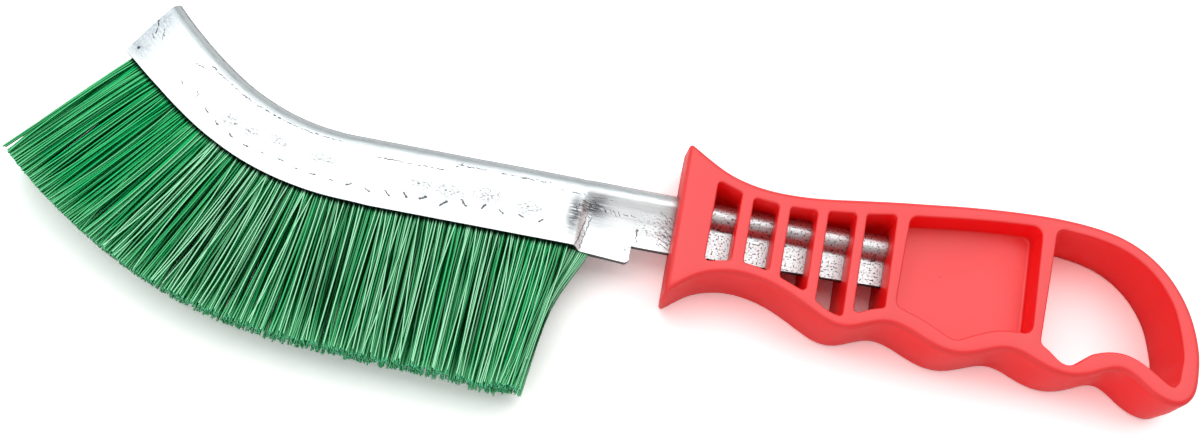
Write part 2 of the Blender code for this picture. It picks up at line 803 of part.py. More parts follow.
def main():
    clear_scene()
    red = material("red_plastic", (0.82, 0.035, 0.040), 0.42)
    steel = material("galvanised_steel", (0.72, 0.74, 0.75), 0.38, 1.0)
    wire = material("steel_wire", (0.55, 0.56, 0.58), 0.40, 1.0)
    green = material("green_filament", (0.010, 0.400, 0.150), 0.45)
    brush = bpy.data.objects.new("brush", None)
    bpy.context.scene.collection.objects.link(brush)
    solids = [make_handle(brush, red), make_blade(brush, steel), make_core(brush, wire)]
    solids += [make_bundle(i, brush, green) for i in range(BUNDLE_COUNT)]
    centre_on_base(brush, solids)


main()
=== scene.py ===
import functools
import random
from math import asin, cos, exp, pi, radians, sin, tan

import bmesh
import bpy
from mathutils import Matrix, Vector, noise


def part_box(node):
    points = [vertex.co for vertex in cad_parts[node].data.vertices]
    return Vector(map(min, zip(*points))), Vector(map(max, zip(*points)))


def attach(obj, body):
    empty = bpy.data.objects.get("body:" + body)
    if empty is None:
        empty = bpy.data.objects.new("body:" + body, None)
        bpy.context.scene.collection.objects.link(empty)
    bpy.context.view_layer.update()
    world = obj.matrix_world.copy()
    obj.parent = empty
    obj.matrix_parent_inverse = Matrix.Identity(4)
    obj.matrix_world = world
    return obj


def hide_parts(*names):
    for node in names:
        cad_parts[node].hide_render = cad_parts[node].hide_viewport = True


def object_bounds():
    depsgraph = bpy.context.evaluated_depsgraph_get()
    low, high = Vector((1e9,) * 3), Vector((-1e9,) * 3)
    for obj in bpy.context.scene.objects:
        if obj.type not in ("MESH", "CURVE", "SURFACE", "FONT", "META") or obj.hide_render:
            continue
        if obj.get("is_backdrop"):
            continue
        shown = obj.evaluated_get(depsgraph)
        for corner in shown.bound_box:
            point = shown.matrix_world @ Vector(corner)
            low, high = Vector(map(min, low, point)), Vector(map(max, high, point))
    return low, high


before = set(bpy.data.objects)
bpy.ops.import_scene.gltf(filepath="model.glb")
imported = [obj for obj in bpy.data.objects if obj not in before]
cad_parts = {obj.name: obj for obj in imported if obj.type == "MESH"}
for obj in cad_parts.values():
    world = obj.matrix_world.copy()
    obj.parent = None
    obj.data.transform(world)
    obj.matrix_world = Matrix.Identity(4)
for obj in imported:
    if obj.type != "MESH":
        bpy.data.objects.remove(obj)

# Sizes of the CAD model, repeated so that the finer pieces here stand exactly where it does.
# x = 0 is the front of the guard, and y = 0 the tang's reference line, as in its source.
HANDLE_LENGTH = 0.1131
HANDLE_THICKNESS = 0.017
GUARD_TOP = 0.0140
GUARD_BOTTOM = 0.0203
GUARD_TIP_RADIUS = 0.0006
GUARD_TIP_REACH = 0.0040
GRIP_RISE = 0.01266
GRIP_DROP = 0.02373
SIDE_BULGE = 0.0003
EDGE_FILLET = 0.0012
OPENING_FILLET = 0.0004
RIM = 0.0030
GUARD_WALL = 0.0072
WINDOW_RIB = 0.0027
WINDOW_LAST_RIB = 0.0022
WINDOWS_LENGTH = 0.0388
WINDOW_CORNER = 0.0008
SOCKET_WALL = 0.0026
POCKET_LENGTH = 0.0288
POCKET_WEB = 0.0015
POCKET_CORNER = 0.0020
POCKET_COVE = 0.0006
LOOP_WALL = 0.0026
LOOP_CORNER = 0.0016
SHEET = 0.0008
BACK_RISE = 0.0038
CHANNEL_RADIUS = 0.0031
CHANNEL_MOUTH = 0.0056
CHANNEL_DEPTH = 0.0158
CHANNEL_STRAIGHT = 0.0710
CURVE_RADIUS = 0.0510
NOSE_RADIUS = 0.1080
NOSE_CUT_NEAR = 0.0033
NOSE_CUT_FAR = 0.0003
NOSE_MARGIN = 0.0049
SEAM = 0.0002
PINCH_START = 0.0206
PINCH_CREASE = 0.0016
PINCH_DEPTH = 0.0165
TAB_DEPTH = 0.0171
TAB_END = 0.0084
TAB_BEVEL = 0.0008
TAB_BEVEL_RUN = 0.0006
TAB_STEP = 0.00005
TANG_ROOT = 0.0015
TANG_DEPTH = 0.0132
TANG_HEIGHT = 0.0130
TANG_TIP_HEIGHT = 0.0116
TANG_SHOULDER = 0.0065
TANG_GRIP = 0.0012
BEAD_COVE = 0.0008
ROOT_MARGIN = 0.0010
TRIM_LENGTH = 0.0332
ROOT_LEAN_SPAN = 0.0200
FIT = 0.0003
curve_angle = radians(33.0)
nose_angle = radians(11.9)
heel_lean = radians(9.0)
nose_lean = radians(4.2)
MIDDLE = HANDLE_THICKNESS / 2
WINDOWS_END = GUARD_WALL + WINDOWS_LENGTH
TANG_LENGTH = WINDOWS_END + TANG_GRIP

window_width_shares = [0.186, 0.190, 0.200, 0.205, 0.219]
channel_depth_shares = [
    (0.00, 1.000), (0.53, 1.000), (0.566, 0.985), (0.607, 0.975), (0.65, 0.965),
    (0.69, 0.960), (0.73, 0.955), (0.77, 0.947), (0.89, 0.947), (0.93, 0.960), (1.00, 0.985),
]
trim_shares = [
    (0.00, 0.990), (0.06, 1.000), (0.10, 1.030), (0.14, 1.000), (0.25, 0.985), (0.50, 0.965),
    (0.65, 0.968), (0.80, 0.982), (0.90, 1.000), (1.00, 0.990),
]
upper_edge_shares = [
    (0.056, 0.803), (0.088, 0.663), (0.121, 0.577), (0.155, 0.526), (0.190, 0.511),
    (0.229, 0.522), (0.274, 0.562), (0.350, 0.666), (0.409, 0.745), (0.471, 0.816),
    (0.532, 0.887), (0.593, 0.943), (0.655, 0.983), (0.712, 1.000), (0.764, 0.983),
    (0.811, 0.934), (0.850, 0.847), (0.890, 0.679), (0.926, 0.430), (0.955, 0.125),
    (0.978, -0.229), (0.993, -0.623), (1.000, -0.950),
]
lower_edge_shares = [
    (1.000, -0.700), (0.995, -0.880), (0.970, -1.000), (0.942, -0.996), (0.912, -0.941),
    (0.883, -0.834), (0.857, -0.768), (0.833, -0.791), (0.798, -0.877), (0.760, -0.921),
    (0.727, -0.910), (0.694, -0.854), (0.660, -0.787), (0.633, -0.784), (0.597, -0.850),
    (0.559, -0.914), (0.525, -0.915), (0.487, -0.860), (0.453, -0.785), (0.424, -0.748),
    (0.400, -0.759), (0.370, -0.826), (0.339, -0.878), (0.304, -0.859), (0.268, -0.773),
    (0.227, -0.673), (0.188, -0.604), (0.151, -0.571), (0.115, -0.567), (0.085, -0.596),
    (0.055, -0.649), (0.032, -0.732),
]
upper_rim_shares = [
    (0.00, 0.95), (0.10, 0.95), (0.30, 1.04), (0.36, 1.12), (0.41, 1.03), (0.45, 1.06),
    (0.68, 0.97), (0.72, 0.90), (0.87, 0.94), (0.94, 0.98), (0.975, 1.07), (0.99, 1.20),
    (1.00, 1.22),
]
lower_rim_shares = [
    (0.00, 1.10), (0.115, 0.97), (0.135, 1.00), (0.185, 0.90), (0.206, 0.88), (0.257, 0.98),
    (0.277, 0.84), (0.33, 0.88), (0.35, 1.06), (0.41, 1.20), (0.45, 1.36), (0.50, 1.33),
    (0.526, 1.12), (0.547, 1.07), (0.566, 1.24), (0.59, 1.37), (0.63, 1.45), (0.67, 1.50),
    (0.705, 1.35), (0.743, 0.78), (0.761, 0.78), (0.81, 1.47), (0.835, 1.38), (0.867, 1.30),
    (0.906, 1.42), (0.935, 1.30), (0.955, 1.28), (0.975, 1.50), (1.00, 1.35),
]
pinch_levels = [0.62, 0.32, 0.10, 0.00]

# From the CAD model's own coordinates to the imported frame
SHIFT = Vector((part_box("handle")[0].x + SIDE_BULGE,
                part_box("blade")[0].y + TAB_DEPTH - BACK_RISE, 0))


def blend(a, b, share):
    return a + (b - a) * share


def table(shares, place):
    """The value at a place, read between the rows of a table of shares."""
    for (start, low), (end, high) in zip(shares[:-1], shares[1:]):
        if place <= end:
            return blend(low, high, max(0.0, (place - start) / (end - start)))
    return shares[-1][1]


def quarter_turns(steps):
    return [pi / 2 * i / steps for i in range(steps + 1)]


def ease(low, high, value):
    share = min(1.0, max(0.0, (value - low) / (high - low)))
    return share * share * (3 - 2 * share)


def new_object(name, data):
    made = bpy.data.objects.new(name, data)
    bpy.context.scene.collection.objects.link(made)
    return made


def add_piece(name, mesh, material, slot, *nodes):
    """Puts a mesh, in the CAD model's own coordinates, in place of CAD nodes."""
    piece = new_object(name, mesh)
    piece.location = SHIFT
    mesh.materials.append(material)
    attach(piece, "root")
    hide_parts(*nodes)
    return piece


def mesh_of(bm, name, sharp_degrees=None):
    bmesh.ops.recalc_face_normals(bm, faces=bm.faces)
    mesh = bpy.data.meshes.new(name)
    bm.to_mesh(mesh)
    bm.free()
    mesh.shade_smooth()
    if sharp_degrees:
        mesh.set_sharp_from_angle(angle=radians(sharp_degrees))
    return mesh


def join_rings(bm, rings, first=0):
    """Makes the faces between rings. FIRST is 1 for rings with two ends."""
    return [bm.faces.new((a[i - 1], a[i], b[i], b[i - 1]))
            for a, b in zip(rings[:-1], rings[1:]) for i in range(first, len(a))]


# Handle

OUTLINE_STEP = 0.0005
OUTLINE_ROUNDS, RIM_ROUNDS = 24, 10
EDGE_STEPS, FILLET_STEPS = 7, 4
CORNER_STEPS, TIP_STEPS = 6, 8
HANDLE_SHARP_DEGREES = 35
# How much the walls between the openings lean, in degrees
WINDOW_LEAN, POCKET_LEAN, POCKET_END_LEAN, LOOP_LEAN = 1, 3, 1.1, 3.7


def through(points):
    """A smooth curve through points, in short steps."""
    points = [Vector(p) for p in points]
    ends = [points[0] * 2 - points[1]] + points + [points[-1] * 2 - points[-2]]
    curve = []
    for before, start, end, after in zip(ends[:-3], ends[1:-2], ends[2:-1], ends[3:]):
        steps = max(1, round((end - start).length / OUTLINE_STEP))
        for i in range(steps):
            t = i / steps
            curve.append(0.5 * (2 * start + (end - before) * t
                                + (2 * before - 5 * start + 4 * end - after) * t ** 2
                                + (3 * start - before - 3 * end + after) * t ** 3))
    return curve + [points[-1]]


def smoothed(curve, rounds):
    """The curve with each inner point drawn towards its neighbours."""
    for _ in range(rounds):
        middle = [(a + b * 2 + c) / 4 for a, b, c in zip(curve, curve[1:], curve[2:])]
        curve = [curve[0], *middle, curve[-1]]
    return curve


def rounded(outline, corners, steps):
    """The closed outline with arcs at some corners. CORNERS maps a point's number to a radius."""
    put, count = {}, len(outline)
    for index, radius in corners.items():
        corner = outline[index]
        back = (outline[index - 1] - corner).normalized()
        ahead = (outline[(index + 1) % count] - corner).normalized()
        trim = radius / tan(back.angle(ahead) / 2)
        for way in (-1, 1):
            step = way
            while (outline[(index + step) % count] - corner).length < trim * 1.2:
                put.setdefault((index + step) % count, [])
                step += way
        middle = corner + (back + ahead).normalized() * (radius / sin(back.angle(ahead) / 2))
        first = corner + back * trim - middle
        turn = first.angle_signed(corner + ahead * trim - middle)
        put[index] = [middle + Matrix.Rotation(-turn * i / steps, 2) @ first
                      for i in range(steps + 1)]
    return [p for index, point in enumerate(outline) for p in put.get(index, [point])]


def normals(outline):
    """The way out at each point, longer at a corner so that offset sides stay parallel."""
    found = []
    for before, point, after in zip([outline[-1]] + outline, outline, outline[1:] + outline):
        ahead = (after - point).normalized()
        mean = ((point - before).normalized() + ahead).normalized()
        found.append(Vector((-mean.y, mean.x)) / max(0.4, mean.dot(ahead)))
    return found


def handle_curve():
    points = [(0, GUARD_TOP)]
    points += [(x * HANDLE_LENGTH, y * GRIP_RISE) for x, y in upper_edge_shares]
    points += [(x * HANDLE_LENGTH, y * GRIP_DROP) for x, y in lower_edge_shares]
    points += [(0, -GUARD_BOTTOM)]
    return smoothed(through(points), OUTLINE_ROUNDS)


def handle_outline():
    """The outline, with room beside the guard's two tips for their rounding."""
    curve = handle_curve()
    free = [p for p in curve[1:-1]
            if min((p - curve[0]).length, (p - curve[-1]).length) > GUARD_TIP_REACH]
    return [curve[0]] + free + [curve[-1]]


def inner_curve():
    """The inner edge of the handle's rim."""
    curve = handle_curve()
    tail = max(range(len(curve)), key=lambda i: curve[i].x)
    inner = []
    for i, (point, normal) in enumerate(zip(curve, normals(curve))):
        shares = upper_rim_shares if i <= tail else lower_rim_shares
        inner.append(point - normal.normalized() * RIM * table(shares, point.x / HANDLE_LENGTH))
    return smoothed(inner[1:-1], RIM_ROUNDS)


def wall_line(place, degrees):
    """A wall's x at each y. It leans by some degrees about the middle of the tang."""
    return lambda y: place + (y - BACK_RISE + TANG_HEIGHT / 2) * tan(radians(degrees))


def opening(front, back, corner):
    """The part of the rim's inner side between two walls, with rounded corners."""
    ring = inner_curve()

    def inside(p):
        return p.x > front(p.y) and (back is None or p.x < back(p.y))

    def crossing(a, b, wall):
        near, far = a.x - wall(a.y), b.x - wall(b.y)
        return a.lerp(b, near / (near - far))

    shape, corners = [], []
    for a, b in zip(ring[:-1], ring[1:]):
        if inside(a) != inside(b):
            crossed = (a.x > front(a.y)) != (b.x > front(b.y))
            corners.append(len(shape))
            shape.append(crossing(a, b, front if crossed else back))
        if inside(b):
            shape.append(b)
    return rounded(shape, {i: corner for i in corners}, CORNER_STEPS)


def stack(bm, outline, levels, tips=None):
    """Walls through copies of an outline. Each level is a height and an offset outward."""
    out = normals(outline)
    rings = []
    for z, d in levels:
        ring = rounded([p + n * d for p, n in zip(outline, out)], tips or {}, TIP_STEPS)
        rings.append([bm.verts.new((*p, z)) for p in ring])
    join_rings(bm, rings)
    return rings[0], rings[-1]


def through_levels(radius, steps, side):
    """Levels from the lower face to the upper, both with a rounded edge."""
    turns = quarter_turns(steps)
    edge = [(radius * (sin(a) - 1), side * radius * (1 - cos(a))) for a in turns]
    return [(-z, d) for z, d in reversed(edge)] + [(HANDLE_THICKNESS + z, d) for z, d in edge]


def fill(bm, rings):
    """Closes the face between an outer ring and the rings of its openings."""
    edges = [bm.edges.get((r[i - 1], r[i])) for r in rings for i in range(len(r))]
    bmesh.ops.triangle_fill(bm, use_beauty=True, use_dissolve=False, edges=edges)


def handle_openings():
    gaps = len(window_width_shares) - 1
    ribs = [blend(WINDOW_RIB, WINDOW_LAST_RIB, i / (gaps - 1)) for i in range(gaps)]
    room = WINDOWS_LENGTH - sum(ribs)
    windows, start = [], GUARD_WALL
    for share, rib in zip(window_width_shares, ribs + [0]):
        end = start + room * share
        front, back = wall_line(start, WINDOW_LEAN), wall_line(end, WINDOW_LEAN)
        windows.append(opening(front, back, WINDOW_CORNER))
        start = end + rib
    pocket_start = WINDOWS_END + SOCKET_WALL
    pocket_end = pocket_start + POCKET_LENGTH
    loop = opening(wall_line(pocket_end + LOOP_WALL, LOOP_LEAN), None, LOOP_CORNER)
    pocket = opening(wall_line(pocket_start, POCKET_LEAN), wall_line(pocket_end, POCKET_END_LEAN),
                     POCKET_CORNER)
    return windows + [loop], pocket


def make_handle(material):
    """The moulding with its windows, pockets and loop. The tang's seat is cut out last."""
    bm = bmesh.new()
    outline = handle_outline()
    levels = through_levels(EDGE_FILLET, EDGE_STEPS, -1)
    levels.insert(len(levels) // 2, (MIDDLE, SIDE_BULGE))
    tips = {0: GUARD_TIP_RADIUS, len(outline) - 1: GUARD_TIP_RADIUS}
    ends = [stack(bm, outline, levels, tips)]
    holes, pocket = handle_openings()
    opening_levels = through_levels(OPENING_FILLET, FILLET_STEPS, 1)
    ends += [stack(bm, hole, opening_levels) for hole in holes]
    lower_rings, upper_rings = [list(rings) for rings in zip(*ends)]
    floor_level = MIDDLE + POCKET_WEB / 2
    cove = [(floor_level + POCKET_COVE * (1 - cos(a)), POCKET_COVE * (sin(a) - 1))
            for a in quarter_turns(FILLET_STEPS)]
    for mirrored, rings in ((False, upper_rings), (True, lower_rings)):
        levels = cove + opening_levels[FILLET_STEPS + 1:]
        if mirrored:
            levels = [(HANDLE_THICKNESS - z, d) for z, d in levels]
        floor, mouth = stack(bm, pocket, levels)
        fill(bm, [floor])
        rings.append(mouth)
    fill(bm, lower_rings)
    fill(bm, upper_rings)
    piece = add_piece("handle_moulding", mesh_of(bm, "handle_moulding"), material,
                      "red_plastic", "handle")
    cutter = make_socket()
    cutter.location = SHIFT
    boolean = piece.modifiers.new("socket", "BOOLEAN")
    boolean.operation = "DIFFERENCE"
    boolean.solver = "EXACT"
    boolean.object = cutter
    bpy.context.view_layer.update()
    cut_piece = piece.evaluated_get(bpy.context.evaluated_depsgraph_get())
    cut_mesh = bpy.data.meshes.new_from_object(cut_piece)
    piece.modifiers.clear()
    piece.data = cut_mesh
    bpy.data.objects.remove(cutter)
    piece.data.set_sharp_from_angle(angle=radians(HANDLE_SHARP_DEGREES))
    return piece


# Blade


def curve_frame(place):
    """A point of the channel's back, the way along it and the way down to its mouth."""
    turn = max(0, place - CHANNEL_STRAIGHT) / CURVE_RADIUS
    centre = Vector((-min(place, CHANNEL_STRAIGHT), BACK_RISE + CURVE_RADIUS))
    radius = CURVE_RADIUS
    if turn > curve_angle:
        end = Vector((sin(curve_angle), cos(curve_angle)))
        centre += end * (NOSE_RADIUS - CURVE_RADIUS)
        radius = NOSE_RADIUS
        rest = place - CHANNEL_STRAIGHT - CURVE_RADIUS * curve_angle
        turn = curve_angle + rest / NOSE_RADIUS
    down = Vector((-sin(turn), -cos(turn)))
    return centre + down * radius, Vector((-cos(turn), sin(turn))), down


CHANNEL_LENGTH = CHANNEL_STRAIGHT + CURVE_RADIUS * curve_angle + NOSE_RADIUS * nose_angle


def channel_depth(place):
    return CHANNEL_DEPTH * table(channel_depth_shares, place / CHANNEL_LENGTH)


def point_at(place, depth, height):
    back, _, down = curve_frame(place)
    return Vector((*(back + down * depth), MIDDLE + height))


ARC_STEPS, WALL_STEPS, COVE_STEPS, CREASE_STEPS = 9, 22, 4, 8
PLACE_STEP, TANG_STEP = 0.0004, 0.0012
SHEET_SHARP_DEGREES = 40
SOCKET_OVERRUN = 0.0010
# Each vertex of the sheet keeps its place, its depth and this, above 0 on the upper side.
SIDE_MARK = 0.1
SHEET_WAVE = 0.00006
SHEET_RIPPLE = 0.000014
CRIMP_DEPTH = 0.00016
# A crimp's dent fades out over its size times a spread, and is left out past a reach, in mm.
CRIMP_SPREAD, CRIMP_REACH = 1.9, 3
RELIEF_FADE, RELIEF_END = 0.003, 0.002
DIMPLE_PLACE, DIMPLE_LEVEL = 0.0178, 0.0066
DIMPLE_DEPTH, DIMPLE_LONG, DIMPLE_WIDE = 0.00045, 0.0022, 0.0010
CREASE_PLACE, CREASE_DEPTH, CREASE_WIDE = 0.0205, 0.00012, 0.0009


def arc_points(skin, turns):
    reach = CHANNEL_RADIUS + skin
    return [Vector((CHANNEL_RADIUS - reach * cos(a), reach * sin(a))) for a in turns]


def open_section(depth, skin):
    """Half of the open channel: depths from its back, with half widths."""
    half = arc_points(skin, quarter_turns(ARC_STEPS))
    for i in range(1, WALL_STEPS + 1):
        share = i / WALL_STEPS
        half.append(Vector((blend(CHANNEL_RADIUS, depth, share),
                            blend(CHANNEL_RADIUS, CHANNEL_MOUTH / 2, share) + skin)))
    return half


def pinched_section(depth, skin):
    """Half of the channel with its walls pressed together below its round back."""
    half = open_section(depth, skin)[:ARC_STEPS + 1]
    shut = SHEET + SEAM / 2
    places = [(0, 1.0)] + [((i + 1) * 0.25, p) for i, p in enumerate(pinch_levels)]
    for i in range(1, WALL_STEPS + 1):
        level = blend(CHANNEL_RADIUS, depth, i / WALL_STEPS)
        share = min(1, (level - CHANNEL_RADIUS) / (TANG_DEPTH - CHANNEL_RADIUS))
        half.append(Vector((level, blend(shut, CHANNEL_RADIUS, table(places, share)) + skin)))
    return half


def bead_section(depth, skin):
    """A round bead, a small cove under it, and the flat web."""
    web = SHEET + SEAM / 2 + skin
    reach = CHANNEL_RADIUS + skin
    cove = BEAD_COVE - skin
    lean = asin((web + cove) / (reach + cove))
    middle = CHANNEL_RADIUS + (reach + cove) * cos(lean)
    half = arc_points(skin, [(pi - lean) * i / ARC_STEPS for i in range(ARC_STEPS + 1)])
    for i in range(1, COVE_STEPS + 1):
        a = blend(lean, pi / 2, i / COVE_STEPS)
        half.append(Vector((middle - cove * cos(a), web + cove - cove * sin(a))))
    count = WALL_STEPS - COVE_STEPS
    return half + [Vector((blend(middle, depth, i / count), web)) for i in range(1, count + 1)]


def mixed(a, b, share):
    return [p.lerp(q, share) for p, q in zip(a, b)]


def half_section(place, skin):
    """Half of the blade's section at a place: open channel, pinched neck or beaded tang."""
    if place >= PINCH_START:
        return open_section(channel_depth(place), skin)
    if place >= PINCH_START - PINCH_CREASE:
        share = ease(0, PINCH_CREASE, PINCH_START - place)
        return mixed(open_section(CHANNEL_DEPTH, skin), pinched_section(PINCH_DEPTH, skin), share)
    if place > TAB_END:
        share = (PINCH_START - PINCH_CREASE - place) / (PINCH_START - PINCH_CREASE - TAB_END)
        edge = TAB_BEVEL * max(0, 1 - (place - TAB_END) / TAB_BEVEL_RUN)
        return pinched_section(blend(PINCH_DEPTH, TAB_DEPTH, share) - edge, skin)
    if place > TANG_ROOT:
        return pinched_section(TANG_DEPTH, skin)
    share = ease(-TANG_ROOT, TANG_SHOULDER, -place)
    height = blend(TANG_HEIGHT, TANG_TIP_HEIGHT, max(0, -place) / TANG_LENGTH)
    return mixed(pinched_section(TANG_DEPTH, skin), bead_section(height, skin), share)


# Crimp marks along the channel: place and depth in millimetres, turn in degrees, half length
# and half width in millimetres.
CRIMPS = [
    (28.4, 12.0, 40, 0.55, 0.28), (32.8, 11.8, -20, 0.60, 0.24), (37.1, 11.7, -25, 0.65, 0.22),
    (41.0, 11.2, 50, 0.75, 0.30), (45.3, 11.3, -40, 1.05, 0.26), (49.6, 12.3, 48, 1.10, 0.34),
    (54.1, 11.8, 30, 0.90, 0.42), (57.9, 12.1, -45, 0.85, 0.30), (61.8, 12.3, -40, 1.00, 0.22),
    (66.1, 12.5, -35, 0.80, 0.20), (70.3, 12.0, 15, 0.70, 0.25), (73.5, 11.9, 5, 0.38, 0.16),
    (76.8, 11.7, 10, 0.52, 0.22), (80.0, 11.6, 5, 0.34, 0.16), (83.1, 11.3, -8, 0.55, 0.20),
    (86.6, 11.5, -8, 0.30, 0.16), (89.7, 11.9, 0, 0.42, 0.24), (93.0, 11.9, -15, 0.46, 0.26),
    (96.4, 11.6, -22, 0.50, 0.25), (99.5, 11.0, -25, 0.62, 0.22), (103.1, 9.8, -60, 0.75, 0.16),
    (107.2, 10.5, -32, 0.42, 0.24),
]
# How much of a crimp's size is drawn dark. Past a place in millimetres it's thinner.
DRAWN_LENGTH_SHARE, DRAWN_WIDTH_SHARE = 0.8, 0.75
THIN_FROM, THIN_WIDTH_SHARE = 72, 0.55
# How far from a mark's ends, and from its sides, a face still carries it, in millimetres
MARK_REACH, FACE_REACH = 1.5, 0.8

# Marks on the sheet's upper side, in millimetres: where each starts and ends, as places along
# the sheet and depths from its back, and half its width
SEAM_LINES = [
    (106.4, 3.3, 98.0, 3.2, 0.13), (98.0, 3.2, 86.0, 3.05, 0.12), (86.0, 3.05, 73.4, 2.9, 0.10),
    (66.5, 4.8, 51.0, 4.9, 0.12), (48.6, 3.1, 27.6, 3.3, 0.12), (109.0, 5.6, 106.6, 4.9, 0.10),
    (26.0, 4.2, 14.0, 4.5, 0.09), (47.2, 2.6, 48.6, 3.7, 0.14),
]
# Dark lines painted along the creases at the pinch and near the tab's end, as painted shade in them
CREASE_SHADE_LINES = [
    (18.7, 7.7, 20.3, 15.8, 0.13), (17.9, 8.3, 19.3, 15.9, 0.10),
    (7.75, 9.9, 7.5, 12.6, 0.13), (7.75, 9.6, 7.8, 9.9, 0.28),
]
SCRATCHES = [
    (15.5, 6.5, 14.9, 7.3, 0.12), (14.2, 6.5, 13.9, 7.4, 0.10), (13.4, 6.6, 12.7, 7.5, 0.12),
    (12.4, 6.5, 12.1, 7.2, 0.10), (11.2, 6.9, 10.2, 7.0, 0.12), (9.6, 6.7, 8.5, 7.1, 0.10),
    (17.6, 5.6, 15.6, 6.3, 0.13), (18.8, 6.2, 16.2, 6.9, 0.22), (19.2, 7.0, 17.2, 7.1, 0.30),
    (20.6, 5.6, 18.4, 6.0, 0.14), (21.0, 6.6, 19.4, 7.8, 0.15), (21.6, 7.4, 20.2, 9.0, 0.12),
]
# Beside the guard
GUARD_SCRATCHES = [
    (2.6, 5.4, 0.8, 7.0, 0.12), (2.2, 6.6, 0.4, 8.2, 0.12), (2.8, 8.0, 0.4, 9.4, 0.14),
    (2.6, 9.2, 0.2, 10.6, 0.13), (3.0, 10.4, 0.6, 11.6, 0.12), (2.4, 11.6, 0.4, 12.6, 0.12),
    (1.2, 5.8, 0.2, 6.6, 0.14), (1.4, 9.0, 0.0, 10.0, 0.16),
]
# In the handle's windows
TANG_MARKS = [
    (-9.3, 6.00, -10.9, 6.25, 0.20), (-11.2, 6.10, -13.0, 6.25, 0.18), (-8.3, 4.5, -8.0, 5.9, 0.09),
    (-8.7, 4.7, -8.35, 6.1, 0.09), (-20.5, 2.8, -20.7, 3.0, 0.18), (-21.0, 3.5, -21.4, 3.3, 0.14),
    (-19.6, 4.9, -20.0, 5.0, 0.11), (-43.2, 6.7, -43.7, 4.9, 0.11), (-43.7, 4.9, -44.2, 6.5, 0.11),
    (-43.4, 6.4, -44.1, 6.4, 0.26),
]
# How many more short ones lie at the pinch and beside the guard
PINCH_FIELD, GUARD_FIELD = 34, 46
# On the nose
END_MARKS = [
    (121.3, 6.2, 120.3, 6.9, 0.2), (119.9, 7.4, 119.2, 8.2, 0.12), (118.6, 13, 118.4, 13.2, 0.26),
    (118.9, 6.2, 117.6, 7.1, 0.08), (118.0, 7.0, 117.2, 7.9, 0.08), (119.4, 8.8, 118.6, 9.2, 0.10),
]


def slanted(chance, x, y, lengths, degrees, widths):
    """A short scratch about a place and depth, by chance within the ranges given."""
    length, turn = chance.uniform(*lengths), radians(chance.gauss(*degrees))
    across, down = length * cos(turn), length * sin(turn)
    return x - across, y - down, x + across, y + down, chance.uniform(*widths)


def scratch_marks():
    """Short scratches: a dense patch at the pinch, and a field beside the guard."""
    chance = random.Random(5)
    rows = []
    for _ in range(PINCH_FIELD):
        x, y = chance.gauss(18.2, 1.5), chance.gauss(6.9, 0.9)
        rows.append(slanted(chance, x, y, (0.3, 0.8), (128, 16), (0.06, 0.12)))
    for _ in range(GUARD_FIELD):
        x, y = chance.uniform(-1.5, 4.0), chance.uniform(5.0, 12.8)
        if chance.random() >= x / 5:
            rows.append(slanted(chance, x, y, (0.3, 0.9), (140, 14), (0.05, 0.10)))
    return rows


def sheet_marks():
    """(start, end, half width, dashed, on both sides) of each mark on the sheet."""
    rows = []
    for place, depth, turn, length, width in CRIMPS:
        a = radians(turn)
        half = Vector((cos(a), sin(a))) * length * DRAWN_LENGTH_SHARE
        middle = Vector((place, depth))
        share = THIN_WIDTH_SHARE if place > THIN_FROM else DRAWN_WIDTH_SHARE
        rows.append((middle - half, middle + half, width * share, 0, True))
    for dashed, marks in ((1, SEAM_LINES), (0, CREASE_SHADE_LINES + SCRATCHES + END_MARKS + TANG_MARKS),
                          (0.6, GUARD_SCRATCHES + scratch_marks())):
        for x0, y0, x1, y1, width in marks:
            rows.append((Vector((x0, y0)), Vector((x1, y1)), width, dashed, False))
    return rows


def mark_faces(bm, strip):
    """Stores on each face the two nearest marks, for the steel's material to draw."""
    layers = [bm.faces.layers.float_vector.new(name)
              for name in ("mark_1_start", "mark_1_end", "mark_2_start", "mark_2_end")]
    rows = sheet_marks()
    for face in bm.faces:
        values = [v[strip] for v in face.verts]
        middle = sum(values, Vector()) * (1000 / len(values))
        here = middle.to_2d()
        near = []
        for row in rows:
            start, end, width, dashed, both = row
            out = max(min(start.x, end.x) - here.x, here.x - max(start.x, end.x))
            if out > MARK_REACH or middle.z < 0 and not both:
                continue
            way = end - start
            share = min(1, max(0, (here - start).dot(way) / way.length_squared))
            apart = (here - start - way * share).length
            if apart < width * 1.4 + FACE_REACH:
                near.append((apart - width, row))
        near.sort(key=lambda item: item[0])
        for i, (_, (start, end, width, dashed, _)) in enumerate(near[:2]):
            face[layers[2 * i]] = (start.x, start.y, width)
            face[layers[2 * i + 1]] = (end.x, end.y, dashed)


def near_mark(place, depth, mark):
    """1 in the middle of a crimp mark, falling off to 0 around it."""
    centre, level, turn, length, width = mark
    a, b = place * 1000 - centre, depth * 1000 - level
    c, s = cos(radians(turn)), sin(radians(turn))
    along, across = a * c + b * s, b * c - a * s
    return exp(-(along / (length * CRIMP_SPREAD)) ** 2 - (across / (width * CRIMP_SPREAD)) ** 2)


def relief(place, depth, side):
    """How far the surface stands out: the sheet's waves, crimps, a dimple, a crease."""
    here = Vector((place, depth, side * SIDE_MARK))
    lift = SHEET_WAVE * noise.noise(here * 70) + SHEET_RIPPLE * noise.noise(here * 420)
    for mark in CRIMPS:
        if abs(mark[0] - place * 1000) < CRIMP_REACH:
            lift -= CRIMP_DEPTH * near_mark(place, depth, mark)
    if side > 0:
        a, b = place - DIMPLE_PLACE, depth - DIMPLE_LEVEL
        along, across = a * 0.80 + b * 0.60, b * 0.80 - a * 0.60
        lift -= DIMPLE_DEPTH * exp(-(along / DIMPLE_LONG) ** 2 - (across / DIMPLE_WIDE) ** 2)
        lift -= CREASE_DEPTH * exp(-((place - CREASE_PLACE) / CREASE_WIDE) ** 2)
    return lift


